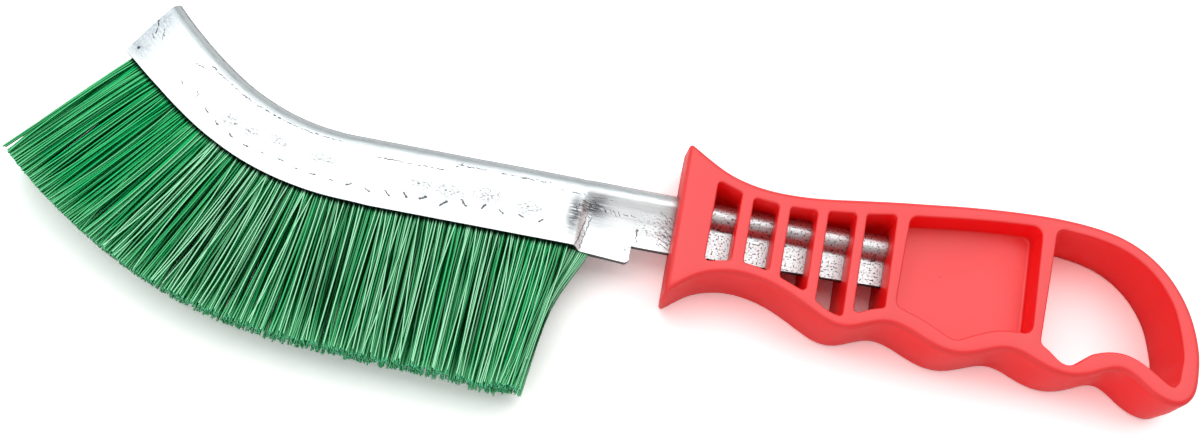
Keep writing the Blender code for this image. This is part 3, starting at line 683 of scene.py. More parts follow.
def even_places(start, end, step=PLACE_STEP):
    """Places after START, up to END."""
    count = round((start - end) / step)
    return [blend(start, end, i / count) for i in range(1, count + 1)]


def blade_places():
    """Places of the blade's rings, from the nose to the tang's end."""
    places = [CHANNEL_LENGTH] + even_places(CHANNEL_LENGTH, PINCH_START)
    places += [PINCH_START - PINCH_CREASE * i / CREASE_STEPS for i in range(1, CREASE_STEPS + 1)]
    places += even_places(places[-1], TAB_END)[:-1] + [TAB_END + TAB_STEP, TAB_END]
    places += even_places(TAB_END, -TANG_SHOULDER)
    return places + even_places(-TANG_SHOULDER, -TANG_LENGTH, TANG_STEP)


def whole(upper, lower):
    """The two halves of a section as one row of points, from mouth to mouth."""
    return [(p.x, p.y) for p in reversed(upper)] + [(p.x, -p.y) for p in lower[1:]]


def make_blade(material):
    """The folded sheet: an outer skin with its relief, an inner skin, and cut edges."""
    bm = bmesh.new()
    strip = bm.verts.layers.float_vector.new("strip")
    # Cut-edge faces, which the steel's material paints near black as painted shade
    raw = bm.faces.layers.float.new("raw")
    rings = []
    for place in blade_places():
        outer, proud, inner = (half_section(place, skin) for skin in (0, SHEET, -SHEET))
        mouth = outer[-1].x
        faded = ease(0, RELIEF_FADE, place + RELIEF_END)
        upper, lower = (
            [p + (q - p) / SHEET * (relief(place, p.x, side) * faded if p.y > 0 else 0)
             for p, q in zip(outer, proud)] for side in (1, -1))
        near_end = ease(NOSE_CUT_NEAR * 2.2, 0, CHANNEL_LENGTH - place)
        made = []
        for points in (whole(upper, lower), whole(inner, inner)):
            row = []
            for depth, height in points:
                cut_back = (NOSE_CUT_NEAR if height > 0 else NOSE_CUT_FAR) * depth / mouth
                shift = cut_back * near_end
                vertex = bm.verts.new(point_at(place - shift, depth, height))
                vertex[strip] = (place - shift, depth, SIDE_MARK if height > 0 else -SIDE_MARK)
                row.append(vertex)
            made.append(row)
        rings.append(made)
    for (outer_a, inner_a), (outer_b, inner_b) in zip(rings[:-1], rings[1:]):
        join_rings(bm, (outer_a, outer_b), 1)
        join_rings(bm, (inner_a, inner_b), 1)
        for end in (0, -1):
            bm.faces.new((outer_a[end], outer_b[end], inner_b[end], inner_a[end]))[raw] = 1
    for ring in (rings[0], rings[-1]):
        for face in join_rings(bm, ring, 1):
            face[raw] = 1
    mark_faces(bm, strip)
    mesh = mesh_of(bm, "blade_sheet", SHEET_SHARP_DEGREES)
    return add_piece("blade_sheet", mesh, material, "galvanised_steel", "blade")


def make_socket():
    """The cutter for the tang's seat in the handle."""
    bm = bmesh.new()
    rings = []
    for place in (SOCKET_OVERRUN, 0, -TANG_SHOULDER / 2, -TANG_SHOULDER, -TANG_LENGTH - FIT):
        half = half_section(min(place, 0), FIT)
        # The flat web needs fewer points than the bead and its cove.
        half = half[:ARC_STEPS + COVE_STEPS + 1] + half[ARC_STEPS + COVE_STEPS + 2::4]
        half[-1] = Vector((half[-1].x + FIT, half[-1].y))
        rings.append([bm.verts.new(point_at(place, d, w)) for d, w in whole(half, half)])
    join_rings(bm, rings)
    bm.faces.new(rings[0])
    bm.faces.new(rings[-1])
    return new_object("tang_socket", mesh_of(bm, "tang_socket"))


# Filaments

FILAMENT_RADIUS = 0.00022
FILAMENT_SIDES, FILAMENT_STEPS = 6, 6
FILAMENT_SHARP_DEGREES = 80
COLUMN_PITCH, ROWS = 0.00058, 9
HALF_THICKNESS, TIP_HALF_THICKNESS = 0.00172, 0.0062
LOOSE_COUNT, NOSE_COUNT, HEEL_COUNT = 48, 56, 34
RUN_HALVINGS = 24
# How far tips stray: with their clump, each by itself, and a few right across the others
CLUMP_REACH, SPREAD, CROSSING_SPREAD = 0.0012, 0.00045, 0.0016
TIP_WAVE = 0.0010
BOW = 0.00040
# The field's ends, where no tip strays past the end's own line by more than a spread
END_RUN, END_SPREAD = 0.004, 0.0002
LOOSE_SPREAD, LOOSE_BOW, LOOSE_LIFT = 0.0014, 0.0005, 0.0003
NOSE_FILL_RUN = 0.007

# Points of the heel's first and last filament, from the mouth to the tip, in millimetres
HEEL_FIRST = [(-21.6, -12.5), (-23.0, -19.5), (-24.3, -25.0), (-25.3, -33.0), (-26.8, -45.0)]
HEEL_LAST = [(-16.9, -12.6), (-20.3, -19.3), (-23.2, -24.8), (-24.3, -33.0), (-25.6, -45.2)]
HEEL_START_HALF = 0.00012
HEEL_ROOT = Vector((0.0002, 0.0014, 0))

# The filament that stands apart: its root past the field's end, inside the mouth and below the
# middle, then how it runs outward, bends back and drops over its length
STRAY_PLACE, STRAY_ROOT, STRAY_LOW = 0.0006, 0.002, -0.0012
STRAY_LENGTH, STRAY_OUT, STRAY_BACK, STRAY_DROP = 0.0328, 0.0021, 0.0030, -0.001


def mouth_run(place):
    """How far the channel's mouth runs up to a place. It's longer round the curve."""
    run = place
    past = place - CHANNEL_STRAIGHT
    if past > 0:
        curved = min(past, CURVE_RADIUS * curve_angle)
        run += curved * CHANNEL_DEPTH / CURVE_RADIUS
        run += (past - curved) * CHANNEL_DEPTH / NOSE_RADIUS
    return run


def place_of_run(run):
    low, high = 0, CHANNEL_LENGTH
    for _ in range(RUN_HALVINGS):
        middle = (low + high) / 2
        low, high = (middle, high) if mouth_run(middle) < run else (low, middle)
    return low


def tube(path, radius, vertices, faces):
    """Adds a filament along a path, and returns how many vertices it has."""
    first = len(vertices)
    sides = FILAMENT_SIDES
    for i, point in enumerate(path):
        way = (path[min(i + 1, len(path) - 1)] - path[max(i - 1, 0)]).normalized()
        across = way.cross(Vector((0, 0, 1))).normalized()
        up = across.cross(way)
        for k in range(sides):
            a = pi / 2 + 2 * pi * k / sides
            vertices.append(point + (across * cos(a) + up * sin(a)) * radius)
    for i in range(len(path) - 1):
        for k in range(sides):
            a, b = first + i * sides + k, first + i * sides + (k + 1) % sides
            faces.append((a, b, b + sides, a + sides))
    last = first + (len(path) - 1) * sides
    faces.append(tuple(range(last, last + sides)))
    faces.append(tuple(range(first + sides - 1, first - 1, -1)))
    return len(path) * sides


def strand(run, level, length, side, tip, bow):
    """The path of a filament from inside the channel, through its mouth, to its tip."""
    place = place_of_run(run)
    _, along, down = curve_frame(place)
    height = HALF_THICKNESS * level
    mouth = point_at(place, channel_depth(place) - FIT, height)
    path = [point_at(place, CHANNEL_DEPTH * 0.45, height * 0.8), mouth]
    for i in range(1, FILAMENT_STEPS + 1):
        t = i / FILAMENT_STEPS
        sideways = side * t ** 1.25 + bow * t * (1 - t) * 4
        flat = along * sideways + down * (length * t)
        path.append(mouth + Vector((*flat, (tip - height) * t ** 1.1)))
    return path


def field_ends():
    return mouth_run(PINCH_START + ROOT_MARGIN), mouth_run(CHANNEL_LENGTH - NOSE_MARGIN)


def lean_of(run, level, length):
    """How far a filament leans along the field: to the heel at one end, or to the nose."""
    start, end = field_ends()
    lean = heel_lean * max(0, 1 - (run - start) / ROOT_LEAN_SPAN) ** 2
    lean -= nose_lean * (1 + 0.75 * level) * max(0, 1 - (end - run) / ROOT_LEAN_SPAN) ** 2
    return length * tan(lean)


def trim_at(run):
    start, end = field_ends()
    return TRIM_LENGTH * table(trim_shares, (run - start) / (end - start))


def field_strands(chance):
    """The main field: each filament's path, its tone with painted shade, and the strength of the
    painted highlight on its ridge.
    """
    start, end = field_ends()
    columns = round((end - start) / COLUMN_PITCH)
    for column in range(columns):
        for row in range(ROWS):
            outermost = row in (0, ROWS - 1)
            if outermost and column % 2:
                continue
            run = start + (column + 0.5 + 0.5 * (row % 2) + chance.uniform(-0.3, 0.3)) \
                * (end - start) / (columns + 1)
            level = (row + 0.5) / ROWS * 2 - 1
            length = trim_at(run) * chance.uniform(0.993, 1.0)
            lean = lean_of(run, level, length)
            clump = noise.noise(Vector((run * 330, row * 0.30, 1.3)))
            clump += noise.noise(Vector((run * 900, row * 0.5, 7.1)))
            nose = ease(0.62, 0.92, (run - start) / (end - start))
            side = lean + (CLUMP_REACH * clump + chance.gauss(0, SPREAD)) * (1 - 0.75 * nose)
            if chance.random() < 0.04:
                side += chance.gauss(0, CROSSING_SPREAD)
            if run - start < END_RUN:
                side = max(side, lean * 0.85)
            if end - run < END_RUN:
                side = min(side, lean + END_SPREAD)
            tip = TIP_HALF_THICKNESS * level * chance.uniform(0.86, 1.08)
            tip += TIP_WAVE * noise.noise(Vector((run * 260, row * 0.5, 4.4)))
            path = strand(run, level, length, side, tip, chance.gauss(0, BOW))
            # Inner rows are painted darker than the outer ones, as painted shade between the
            # filaments; the tone also varies at random and is lighter towards the nose
            outer = ease(0.35, 0.80, abs(level))
            tone_and_shade = blend(0.03, 0.60, outer) + 0.46 * nose + chance.gauss(0, 0.16)
            tone_and_shade += 0.35 * noise.noise(Vector((run * 190, level * 0.4, 2.7)))
            # Outer rows, and some others, get a painted highlight along their ridge, less towards
            # the nose
            painted_highlight = (1.0 if chance.random() < 0.62 else 0.2) * (1.0 if outermost else 0.5 * outer)
            painted_highlight *= 1 - 0.75 * nose
            yield path, tone_and_shade, painted_highlight


def loose_strands(chance):
    """Filaments across the others on both sides, some with their tips in mid-field."""
    start, end = field_ends()
    for number in range(LOOSE_COUNT):
        level = 1.04 if number % 3 else -1.04
        run = blend(start, end, chance.uniform(0.06, 0.78))
        length = trim_at(run) * (chance.uniform(0.62, 0.86) if number % 9 == 0
                                 else chance.uniform(0.982, 0.999))
        side = lean_of(run, level, length) + chance.gauss(0, LOOSE_SPREAD)
        tip = (TIP_HALF_THICKNESS * length / TRIM_LENGTH + LOOSE_LIFT) * level
        yield strand(run, level, length, side, tip, chance.gauss(0, LOOSE_BOW)), 0.7, 1.0


def nose_strands(chance):
    """Filaments that fill the field's end at the nose, where it fans out."""
    end = field_ends()[1]
    for _ in range(NOSE_COUNT):
        run, level = end - NOSE_FILL_RUN * chance.random(), chance.uniform(-1, 1)
        length = trim_at(run) * chance.uniform(0.985, 1.0)
        side = lean_of(run, level, length) * chance.uniform(0.6, 1.0)
        path = strand(run, level, length, side, TIP_HALF_THICKNESS * level, 0)
        yield path, chance.uniform(0.6, 1), 0.25


def heel_strands(chance):
    """Filaments that come out of the pinched mouth at the heel and bend into the field."""
    for number in range(HEEL_COUNT):
        share = min(1, max(0, number / (HEEL_COUNT - 1) + chance.uniform(-0.03, 0.03)))
        level = chance.uniform(-1, 1)
        path = []
        for i, (a, b) in enumerate(zip(HEEL_FIRST, HEEL_LAST)):
            t = i / (len(HEEL_FIRST) - 1)
            x, y = blend(a[0], b[0], share) / 1000, blend(a[1], b[1], share) / 1000
            height = blend(HEEL_START_HALF, TIP_HALF_THICKNESS * 0.8, t ** 0.8) * level
            path.append(Vector((x, y * (1 - 0.02 * chance.random() * t), MIDDLE + height)))
        path.insert(0, path[0] + HEEL_ROOT)
        fine = [path[0]]
        for a, b in zip(path[:-1], path[1:]):
            fine += [a.lerp(b, 0.5), b]
        yield smoothed(fine, 3), chance.uniform(0.0, 0.5), chance.choice((0, 0.6, 1.0))


def stray_path():
    """The filament that stands apart at the nose end of the field."""
    place = CHANNEL_LENGTH - NOSE_MARGIN + STRAY_PLACE
    _, along, down = curve_frame(place)
    root = point_at(place, channel_depth(place) - STRAY_ROOT, STRAY_LOW)
    path = []
    for t in (0, 0.25, 0.5, 0.75, 1):
        flat = along * (STRAY_OUT * t - STRAY_BACK * t * t) + down * STRAY_LENGTH * t
        path.append(root + Vector((*flat, STRAY_DROP * t)))
    return path


def make_filaments(material):
    """The whole field as one mesh, with attributes for its material."""
    chance = random.Random(11)
    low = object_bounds()[0] - SHIFT
    strands = list(field_strands(chance)) + list(loose_strands(chance)) \
        + list(nose_strands(chance)) + list(heel_strands(chance)) + [(stray_path(), 0.0, 0.0)]
    vertices, faces = [], []
    values = {name: [] for name in ("tone_and_shade", "painted_highlight", "lit_ridge", "root", "cut")}
    for path, tone_and_shade, painted_highlight in strands:
        radius = FILAMENT_RADIUS * chance.uniform(0.82, 1.12)
        if path is strands[-1][0]:
            radius = FILAMENT_RADIUS * 0.6
        near_x, near_y = low.x + radius * 1.3, low.y + radius * 1.3
        path = [Vector((max(p.x, near_x), max(p.y, near_y), p.z)) for p in path]
        count = tube(path, radius, vertices, faces)
        tone_and_shade = min(1, max(0, tone_and_shade))
        ring, rest = FILAMENT_SIDES, count - 2 * FILAMENT_SIDES
        # The tips are painted lighter and get more painted highlight, as painted light on them
        near_tip, at_tip = blend(tone_and_shade, 0.8, 0.3), blend(tone_and_shade, 0.9, 0.8)
        values["tone_and_shade"] += [tone_and_shade] * rest + [near_tip] * ring + [at_tip] * ring
        values["painted_highlight"] += [painted_highlight] * (rest + ring) + [max(painted_highlight, 0.5)] * ring
        # The top and bottom vertex of each ring make the lit ridge: painted highlight there,
        # painted shade on the flanks
        values["lit_ridge"] += [1.0, 0.0, 0.0] * (count // 3)
        # The rings inside and at the mouth carry the painted shadow under the channel's edge
        values["root"] += [1.0] * 2 * ring + [0.0] * rest
        # The tip's end face, which the material paints pale as painted light
        values["cut"] += [0.0] * (len(faces) - len(values["cut"]) - 2) + [1.0, 0.0]
    mesh = bpy.data.meshes.new("filament_field")
    mesh.from_pydata(vertices, [], faces)
    for name, numbers in values.items():
        domain = "FACE" if name == "cut" else "POINT"
        mesh.attributes.new(name, "FLOAT", domain).data.foreach_set("value", numbers)
    mesh.shade_smooth()
    mesh.set_sharp_from_angle(angle=radians(FILAMENT_SHARP_DEGREES))
    nodes = [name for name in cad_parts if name.startswith("bristles")]
    return add_piece("filament_field", mesh, material, "green_filament", *nodes)


# Materials

# Colours, in linear red, green and blue
RED_LOW, RED_HIGH = (0.850, 0.021, 0.023), (0.920, 0.030, 0.032)
# The walls are painted a lighter, purer red than the faces, as painted light on them
RED_WALL_LIT = (0.985, 0.012, 0.014)
RED_STAIN, RED_DOT = (0.600, 0.005, 0.006), (0.180, 0.004, 0.004)
ZINC_LOW, ZINC_HIGH = (0.470, 0.492, 0.498), (0.550, 0.572, 0.578)
# The neck's colour, painted lighter as painted light on it
ZINC_NECK_LIT = (0.660, 0.680, 0.685)
# Painted shade in a band along the rounded back, lighter near its top and darker lower down
ZINC_BACK_SHADE, ZINC_BACK_SHADE_LOW = (0.500, 0.545, 0.555), (0.310, 0.345, 0.355)
# Painted shade beside the guard
ZINC_GUARD_SHADE = (0.33, 0.345, 0.355)
ZINC_NOSE = (0.22, 0.26, 0.285)
# Painted shade at the very top edge of the back
ZINC_BACK_EDGE_SHADE = (0.10, 0.11, 0.12)
# The fold's slope, painted nearly white as painted light on it
ZINC_FOLD_LIT = (0.900, 0.910, 0.915)
# Marks, and painted shade at the pinch and along the creases
DARK_MARKS_AND_SHADE = (0.035, 0.035, 0.045)
# The sheet's cut edges, painted near black as painted shade
CUT_EDGE_SHADE = (0.060, 0.060, 0.064)
WIRE_LOW, WIRE_HIGH = (0.36, 0.37, 0.38), (0.52, 0.53, 0.54)
# Filament flanks, painted darker than the ridge as painted shade
GREEN_SHADED_FLANK_LOW, GREEN_SHADED_FLANK_HIGH = (0.000, 0.016, 0.001), (0.000, 0.170, 0.034)
GREEN_LOW, GREEN_HIGH = (0.000, 0.040, 0.003), (0.000, 0.760, 0.210)
# A painted highlight along the ridge
GREEN_PAINTED_HIGHLIGHT = (0.460, 1.000, 0.620)
# The tips' cut ends, painted pale as painted light on them
GREEN_CUT_END_LIT = (0.080, 0.820, 0.470)
# Painted shadow on the roots just past the mouth
GREEN_ROOT_SHADOW = (0.000, 0.012, 0.004)

# A stain and a dot on the pocket's floor
STAIN_PLACE, STAIN_SIZE = (0.0633, -0.0010), (0.0022, 0.0015, 0.0030)
DOT_PLACE, DOT_SIZE = (0.0585, -0.0032), (0.00028, 0.00028, 0.0030)

# Patches of the sheet's upper side, each with its place and depth and their two reaches, in
# millimetres
# Painted shade in the pinch's dimple and at its crease
PINCH_SHADE_PATCHES = [(17.9, 6.7, 5.0, 3.4), (21.5, 9.0, 2.6, 6.5)]
CLUSTERS = [
    (94.6, 9.3, 3.6, 2.6), (90.4, 8.6, 2.6, 2.2), (85.0, 7.6, 3.2, 1.8), (76.0, 7.8, 5.0, 1.6),
    (55.0, 8.9, 5.0, 2.0), (49.0, 9.2, 6.0, 2.6), (41.0, 8.6, 6.5, 2.6), (31.0, 9.6, 5.0, 2.6),
    (4.0, 8.6, 6.5, 4.8), (19.5, 12.8, 2.2, 3.8), (9.0, 14.0, 5.0, 2.2),
]
# Darker mottled patches on the nose
NOSE_PATCHES = [(122.0, 8.6, 8.5, 9.5), (119.2, 12.6, 5.5, 4.2), (121.5, 5.0, 6.5, 5.5)]
HATCH_DEGREES = 52


def new_material(name):
    material = bpy.data.materials.new(name)
    material.use_nodes = True
    return material, material.node_tree, material.node_tree.nodes["Principled BSDF"]


def is_output(value):
    return isinstance(value, bpy.types.NodeSocket)


def set_inputs(made, inputs):
    """Gives a node's inputs their values, or joins them to the outputs of other nodes."""
    for key, value in inputs.items():
        if is_output(value):
            made.id_data.links.new(value, made.inputs[key])
        else:
            made.inputs[key].default_value = value


def add(tree, kind, output, inputs=None, **settings):
    """Adds a node to a tree and returns one of its outputs."""
    made = tree.nodes.new("ShaderNode" + kind)
    for key, value in settings.items():
        setattr(made, key, value)
    set_inputs(made, inputs or {})
    return made.outputs[output]


def node(kind, inputs, output=0, **settings):
    """Adds a node to the tree that its first joined input comes from."""
    tree = next(value.id_data for value in inputs.values() if is_output(value))
    return add(tree, kind, output, inputs, **settings)


def attribute(tree, name, output="Fac"):
    return add(tree, "Attribute", output, attribute_name=name)


def ray(tree, kind):
    return add(tree, "LightPath", f"Is {kind} Ray")


def part_of(vector, axis):
    return node("SeparateXYZ", {0: vector}, axis)


def maths(operation, a, b, clamp=False):
    return node("Math", {0: a, 1: b}, operation=operation, use_clamp=clamp)


times, plus, larger = (functools.partial(maths, operation)
                       for operation in ("MULTIPLY", "ADD", "MAXIMUM"))
# What is left of 1 when a value is taken away
less = functools.partial(maths, "SUBTRACT", 1.0)


def vectors(operation, a, b=(0, 0, 0)):
    output = "Value" if operation in ("LENGTH", "DISTANCE", "DOT_PRODUCT") else "Vector"
    return node("VectorMath", {0: a, 1: b}, output, operation=operation)


def between(value, low, high, start=0.0, end=1.0, kind="LINEAR"):
    """START where the value is LOW, END where it is HIGH, and a blend in between."""
    return node("MapRange", {"Value": value, "From Min": low, "From Max": high,
                             "To Min": start, "To Max": end}, interpolation_type=kind)


def zone(value, start, full, fading, end):
    """1 from FULL to FADING, and 0 up to START and from END on."""
    return times(between(value, start, full), between(value, end, fading))


def mix(factor, a, b):
    """A blend of two colours. Each is a node's output or three numbers."""
    a, b = (colour if is_output(colour) else (*colour, 1) for colour in (a, b))
    return node("Mix", {0: factor, 6: a, 7: b}, 2, data_type="RGBA")


def noise_map(where, scale, detail=3.0, roughness=0.5, output="Fac"):
    return node("TexNoise", {"Vector": where, "Scale": scale, "Detail": detail,
                             "Roughness": roughness}, output)


def stretched(where, scale, degrees=0):
    return node("Mapping", {"Vector": where, "Rotation": (0, 0, radians(degrees)),
                            "Scale": scale})


def sheet_noise(point, along, down, detail, roughness=0.5, degrees=0):
    """Noise on the sheet. The smaller ALONG or DOWN is, the longer it's drawn out that way."""
    return noise_map(stretched(point, (along, down, 1.0), degrees), 1.0, detail, roughness)


def patch(where, centre, size):
    """A soft round patch about CENTRE: 1 in the middle, 0 at SIZE."""
    away = vectors("LENGTH", vectors("DIVIDE", vectors("SUBTRACT", where, centre), size))
    return between(away, 1.0, 0.0, kind="SMOOTHSTEP")


def bumps(height, strength, distance):
    return node("Bump", {"Height": height, "Strength": strength, "Distance": distance}, "Normal")


def red_plastic():
    material, tree, shader = new_material("red_moulded_plastic")
    where = add(tree, "TexCoord", "Object")
    cloud = noise_map(where, 70.0)
    fine = noise_map(where, 1400.0, 4.0)
    facing = part_of(add(tree, "NewGeometry", "Normal"), "Z")
    wall = between(maths("ABSOLUTE", facing, 0.0), 0.15, 0.60, 1.0, 0.0)
    colour = mix(between(cloud, 0.3, 0.7), RED_LOW, RED_HIGH)
    # The walls are painted a lighter, purer red than the faces, as painted light on them
    colour = mix(wall, colour, RED_WALL_LIT)
    floor_level = MIDDLE + POCKET_WEB / 2
    stain, dot = (patch(where, (x, y, floor_level), size)
                  for (x, y), size in ((STAIN_PLACE, STAIN_SIZE), (DOT_PLACE, DOT_SIZE)))
    colour = mix(times(stain, 0.22), colour, RED_STAIN)
    set_inputs(shader, {
        "Base Color": mix(times(dot, 0.8), colour, RED_DOT),
        "Roughness": between(cloud, 0.25, 0.75, 0.34, 0.44),
        "Specular IOR Level": between(wall, 0.0, 1.0, 0.5, 0.15),
        "IOR": 1.60,
        "Subsurface Weight": times(wall, 0.8),
        "Subsurface Radius": (1.0, 0.06, 0.06),
        "Subsurface Scale": 0.007,
        "Normal": bumps(plus(times(cloud, 0.5), fine), 0.10, 0.0002),
    })
    return material


def drawn_mark(tree, number, point, dashes):
    """The mask of one of the two marks that each face of the sheet carries."""
    start, end = (attribute(tree, f"mark_{number}_{name}", "Vector") for name in ("start", "end"))
    way, off = (vectors("MULTIPLY", vectors("SUBTRACT", far, start), (1, 1, 0))
                for far in (end, point))
    square = larger(vectors("DOT_PRODUCT", way, way), 0.0001)
    share = maths("DIVIDE", vectors("DOT_PRODUCT", off, way), square, True)
    apart = vectors("DISTANCE", off, vectors("MULTIPLY", way, share))
    widths = maths("DIVIDE", apart, larger(part_of(start, "Z"), 0.0001))
    mask = between(widths, 1.15, 0.4, kind="SMOOTHSTEP")
    return times(mask, less(times(part_of(end, "Z"), less(dashes))))


def soft_patches(point, spots):
    """Soft patches on the sheet's upper side."""
    side, reach = SIDE_MARK * 1000, SIDE_MARK * 500
    return functools.reduce(larger, [patch(point, (x, y, side), (wide, high, reach))
                                     for x, y, wide, high in spots])


def marks_and_shade(tree, point, drawn, hatch, specks):
    """The mask of what is dark on the sheet: marks, painted shade lines along the creases, painted
    shade at the pinch, clusters of scratches, specks.
    """
    dashes = between(sheet_noise(point, 0.9, 2.0, 3.0), 0.44, 0.54)
    ragged = between(sheet_noise(point, 3.4, 3.4, 3.0, 0.7), 0.36, 0.52, 0.45, 1.0)
    marks = larger(drawn_mark(tree, 1, drawn, dashes), drawn_mark(tree, 2, drawn, dashes))
    # Painted shade in the pinch's dimple and at its crease, broken up by a hatch
    pinch_shade = times(soft_patches(point, PINCH_SHADE_PATCHES), between(hatch, 0.36, 0.50))
    clusters = times(soft_patches(point, CLUSTERS), between(specks, 0.51, 0.62))
    in_handle = between(part_of(point, "X"), -2.0, -7.0)
    freckles = times(in_handle, between(sheet_noise(point, 2.3, 2.3, 2.0, 0.6), 0.57, 0.62))
    sparse = between(specks, 0.68, 0.76)
    return functools.reduce(larger, [
        times(marks, ragged), times(pinch_shade, 0.95), times(clusters, 0.75), times(freckles, 0.95),
        times(sparse, 0.6)])


def zinc(point, along, depth, hatch, specks, cloud):
    """The sheet's colour without its dark marks: painted shade along its back and beside the guard,
    painted light on the neck, and darker mottled patches on the nose.
    """
    # A band down the rounded back, painted darker in streaks along it, as painted shade
    band = times(between(depth, 3.3, 2.5), between(along, -1.0, 3.0))
    lines = between(sheet_noise(point, 0.22, 5.0, 4.0, 0.7), 0.36, 0.64, 0.35, 1.0)
    colour = mix(cloud, ZINC_LOW, ZINC_HIGH)
    # The neck is painted lighter, as painted light on it
    colour = mix(zone(along, -2.0, 1.0, 12.0, 16.0), colour, ZINC_NECK_LIT)
    tone = mix(between(depth, 0.9, 1.6), ZINC_BACK_SHADE, ZINC_BACK_SHADE_LOW)
    colour = mix(times(band, lines), colour, tone)
    # Beside the guard the sheet is painted greyer, as painted shade, broken up by a hatch
    guard_shade = times(zone(along, -4.0, -1.0, 0.0, 4.0), between(hatch, 0.35, 0.60, 0.30, 0.75))
    colour = mix(guard_shade, colour, ZINC_GUARD_SHADE)
    mottled = times(soft_patches(point, NOSE_PATCHES), between(specks, 0.32, 0.60, 0.30, 1.0))
    colour = mix(mottled, colour, ZINC_NOSE)
    # The back's top edge is painted darkest, as painted shade
    return mix(times(between(depth, 0.55, 0.20, 0.0, 0.7), band), colour, ZINC_BACK_EDGE_SHADE)


def galvanised_steel():
    material, tree, shader = new_material("galvanised_sheet_steel")
    cloud = noise_map(add(tree, "TexCoord", "Object"), 110.0, 4.0, 0.6)
    # In millimetres along the sheet, down from its back, and its side
    point = stretched(attribute(tree, "strip", "Vector"), (1000.0, 1000.0, 1000.0))
    wobble = vectors("SUBTRACT", noise_map(point, 1.3, 2.0, output="Color"), (0.5, 0.5, 0.5))
    drawn = vectors("ADD", point, vectors("MULTIPLY", wobble, (0.9, 0.9, 0)))
    along, depth = part_of(point, "X"), part_of(drawn, "Y")
    hatch = sheet_noise(point, 0.35, 3.2, 3.0, 0.6, HATCH_DEGREES)
    specks = sheet_noise(point, 1.5, 2.4, 4.0, 0.7)
    streaks = sheet_noise(point, 0.10, 1.6, 4.0, 0.65)
    grain = sheet_noise(point, 5.0, 5.0, 2.0, 0.6)
    dark = marks_and_shade(tree, point, drawn, hatch, specks)
    # The slope of the fold at the pinch is painted nearly white, as painted light on it, and made
    # less metallic and rougher
    fold = times(zone(along, 18.6, 19.2, 20.4, 20.9), between(depth, 5.0, 9.0))
    colour = mix(fold, zinc(point, along, depth, hatch, specks, cloud), ZINC_FOLD_LIT)
    # Marks, with painted shade at the pinch and along the creases
    colour = mix(times(dark, 0.93), colour, DARK_MARKS_AND_SHADE)
    height = plus(times(streaks, 0.8), times(grain, 0.35))
    set_inputs(shader, {
        # The sheet's cut edges are painted near black, as painted shade
        "Base Color": mix(times(attribute(tree, "raw"), 0.9), colour, CUT_EDGE_SHADE),
        "Metallic": between(fold, 0.0, 1.0, 1.0, 0.1),
        "Roughness": plus(between(streaks, 0.3, 0.7, 0.34, 0.46),
                          larger(times(fold, 0.3), times(dark, 0.25))),
        "Normal": bumps(plus(height, times(dark, -1.2)), 0.35, 0.0001),
    })
    return material


def drawn_wire():
    material, tree, shader = new_material("drawn_wire")
    where = add(tree, "TexCoord", "Object")
    lines = noise_map(stretched(where, (80.0, 2000.0, 2000.0)), 1.0)
    set_inputs(shader, {
        "Base Color": mix(lines, WIRE_LOW, WIRE_HIGH),
        "Roughness": between(lines, 0.3, 0.7, 0.30, 0.50),
        "Metallic": 1.0,
    })
    return material


def green_filament():
    material, tree, shader = new_material("green_filament")
    cloud = noise_map(add(tree, "TexCoord", "Object"), 400.0, 2.0)
    tone_and_shade, lit_ridge, painted_highlight, root, cut = (
        attribute(tree, name) for name in ("tone_and_shade", "lit_ridge", "painted_highlight", "root", "cut"))
    shade = maths("ADD", times(tone_and_shade, 0.85), times(cloud, 0.15), True)
    # Flanks painted darker than the ridge as painted shade, then a painted highlight along the
    # ridge
    colour = mix(between(lit_ridge, 0.05, 0.45), mix(shade, GREEN_SHADED_FLANK_LOW, GREEN_SHADED_FLANK_HIGH),
                 mix(shade, GREEN_LOW, GREEN_HIGH))
    colour = mix(times(between(lit_ridge, 0.26, 0.50), painted_highlight), colour, GREEN_PAINTED_HIGHLIGHT)
    # The tips' cut ends are painted pale, as painted light on them
    colour = mix(times(cut, 0.9), colour, GREEN_CUT_END_LIT)
    set_inputs(shader, {
        # The roots just past the mouth are painted near black, as painted shadow under the
        # channel's edge
        "Base Color": mix(between(root, 0.74, 0.90, 0.0, 0.9), colour, GREEN_ROOT_SHADOW),
        "Roughness": between(cloud, 0.3, 0.7, 0.14, 0.26),
        "IOR": 1.50,
        "Specular IOR Level": 0.08,
    })
    return material


# Camera, floor and lights

CAMERA_PLACE = Vector((-0.0172632, -0.0996562, 0.3003333))
CAMERA_DEGREES = (17.7629, -3.5448, 10.2)
CAMERA_LENS = 42.5454
CAMERA_NEAR = 0.01
FLOOR_HALF = 3.0
FLOOR_GAP = 0.0001
AMBIENT, FILL = 0.20, 1.00
FILL_WAY = (-0.70, -0.71, 0.05)
SHEEN_LOW, SHEEN_HIGH = 0.45, 1.00
KEY_CENTRE = (0.15, 0.65, 1.0)
KEY_WIDE, KEY_DEEP = 1.90, 1.30
KEY_LEVEL = 1.90
FLOOR, FLOOR_SEEN = 0.95, 1.60


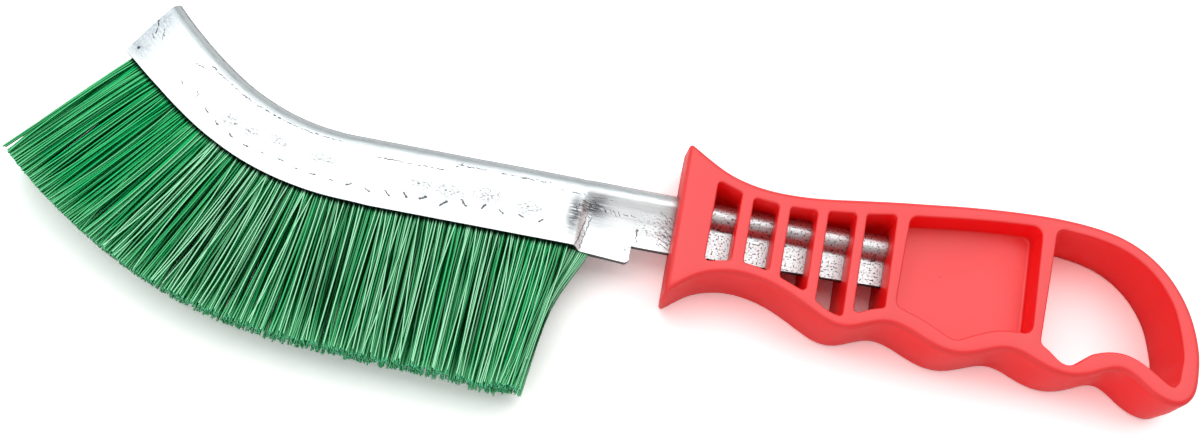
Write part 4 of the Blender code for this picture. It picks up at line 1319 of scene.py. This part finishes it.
def make_camera():
    data = bpy.data.cameras.new("camera")
    data.sensor_width = 36.0
    data.lens = CAMERA_LENS
    data.clip_start = CAMERA_NEAR
    camera = new_object("camera", data)
    camera.location = CAMERA_PLACE + SHIFT
    camera.rotation_euler = [radians(a) for a in CAMERA_DEGREES]
    bpy.context.scene.camera = camera


def make_world():
    """A studio, white to the camera, with soft light from one side."""
    world = bpy.data.worlds.new("studio")
    world.use_nodes = True
    tree = world.node_tree
    way = add(tree, "TexCoord", "Generated")
    fill = between(vectors("DOT_PRODUCT", way, FILL_WAY), 0.1, 0.95, AMBIENT, AMBIENT + FILL)
    sheen = between(part_of(way, "Y"), -0.7, 0.1, SHEEN_LOW, SHEEN_HIGH)
    glossy = larger(ray(tree, "Glossy"), ray(tree, "Transmission"))
    level = plus(times(sheen, glossy), times(fill, less(glossy)))
    seen = ray(tree, "Camera")
    set_inputs(tree.nodes["Background"], {
        "Color": (1, 1, 1, 1), "Strength": plus(seen, times(level, less(seen)))})
    bpy.context.scene.world = world


def make_floor():
    bm = bmesh.new()
    bmesh.ops.create_grid(bm, x_segments=1, y_segments=1, size=FLOOR_HALF)
    floor = new_object("floor", mesh_of(bm, "floor"))
    floor.location = (0, 0, -FLOOR_GAP)
    material, tree, shader = new_material("white_table")
    seen = larger(ray(tree, "Camera"), ray(tree, "Transmission"))
    set_inputs(shader, {"Base Color": between(seen, 0.0, 1.0, FLOOR, FLOOR_SEEN),
                        "Roughness": 0.9, "Specular IOR Level": 0.0})
    floor.data.materials.append(material)
    floor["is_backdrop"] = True


def make_key():
    """A wide softbox over the brush. Its light is even over its face."""
    data = bpy.data.lights.new("key", "AREA")
    data.shape = "RECTANGLE"
    data.size = KEY_WIDE
    data.size_y = KEY_DEEP
    data.energy = KEY_LEVEL * pi * KEY_WIDE * KEY_DEEP
    new_object("key", data).location = KEY_CENTRE


def main():
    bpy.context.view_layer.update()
    make_camera()
    make_world()
    make_floor()
    make_key()
    make_handle(red_plastic())
    make_blade(galvanised_steel())
    make_filaments(green_filament())
    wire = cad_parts["core_wire"]
    wire.data.materials.clear()
    wire.data.materials.append(drawn_wire())
    bpy.context.scene.view_settings.view_transform = "Standard"


main()
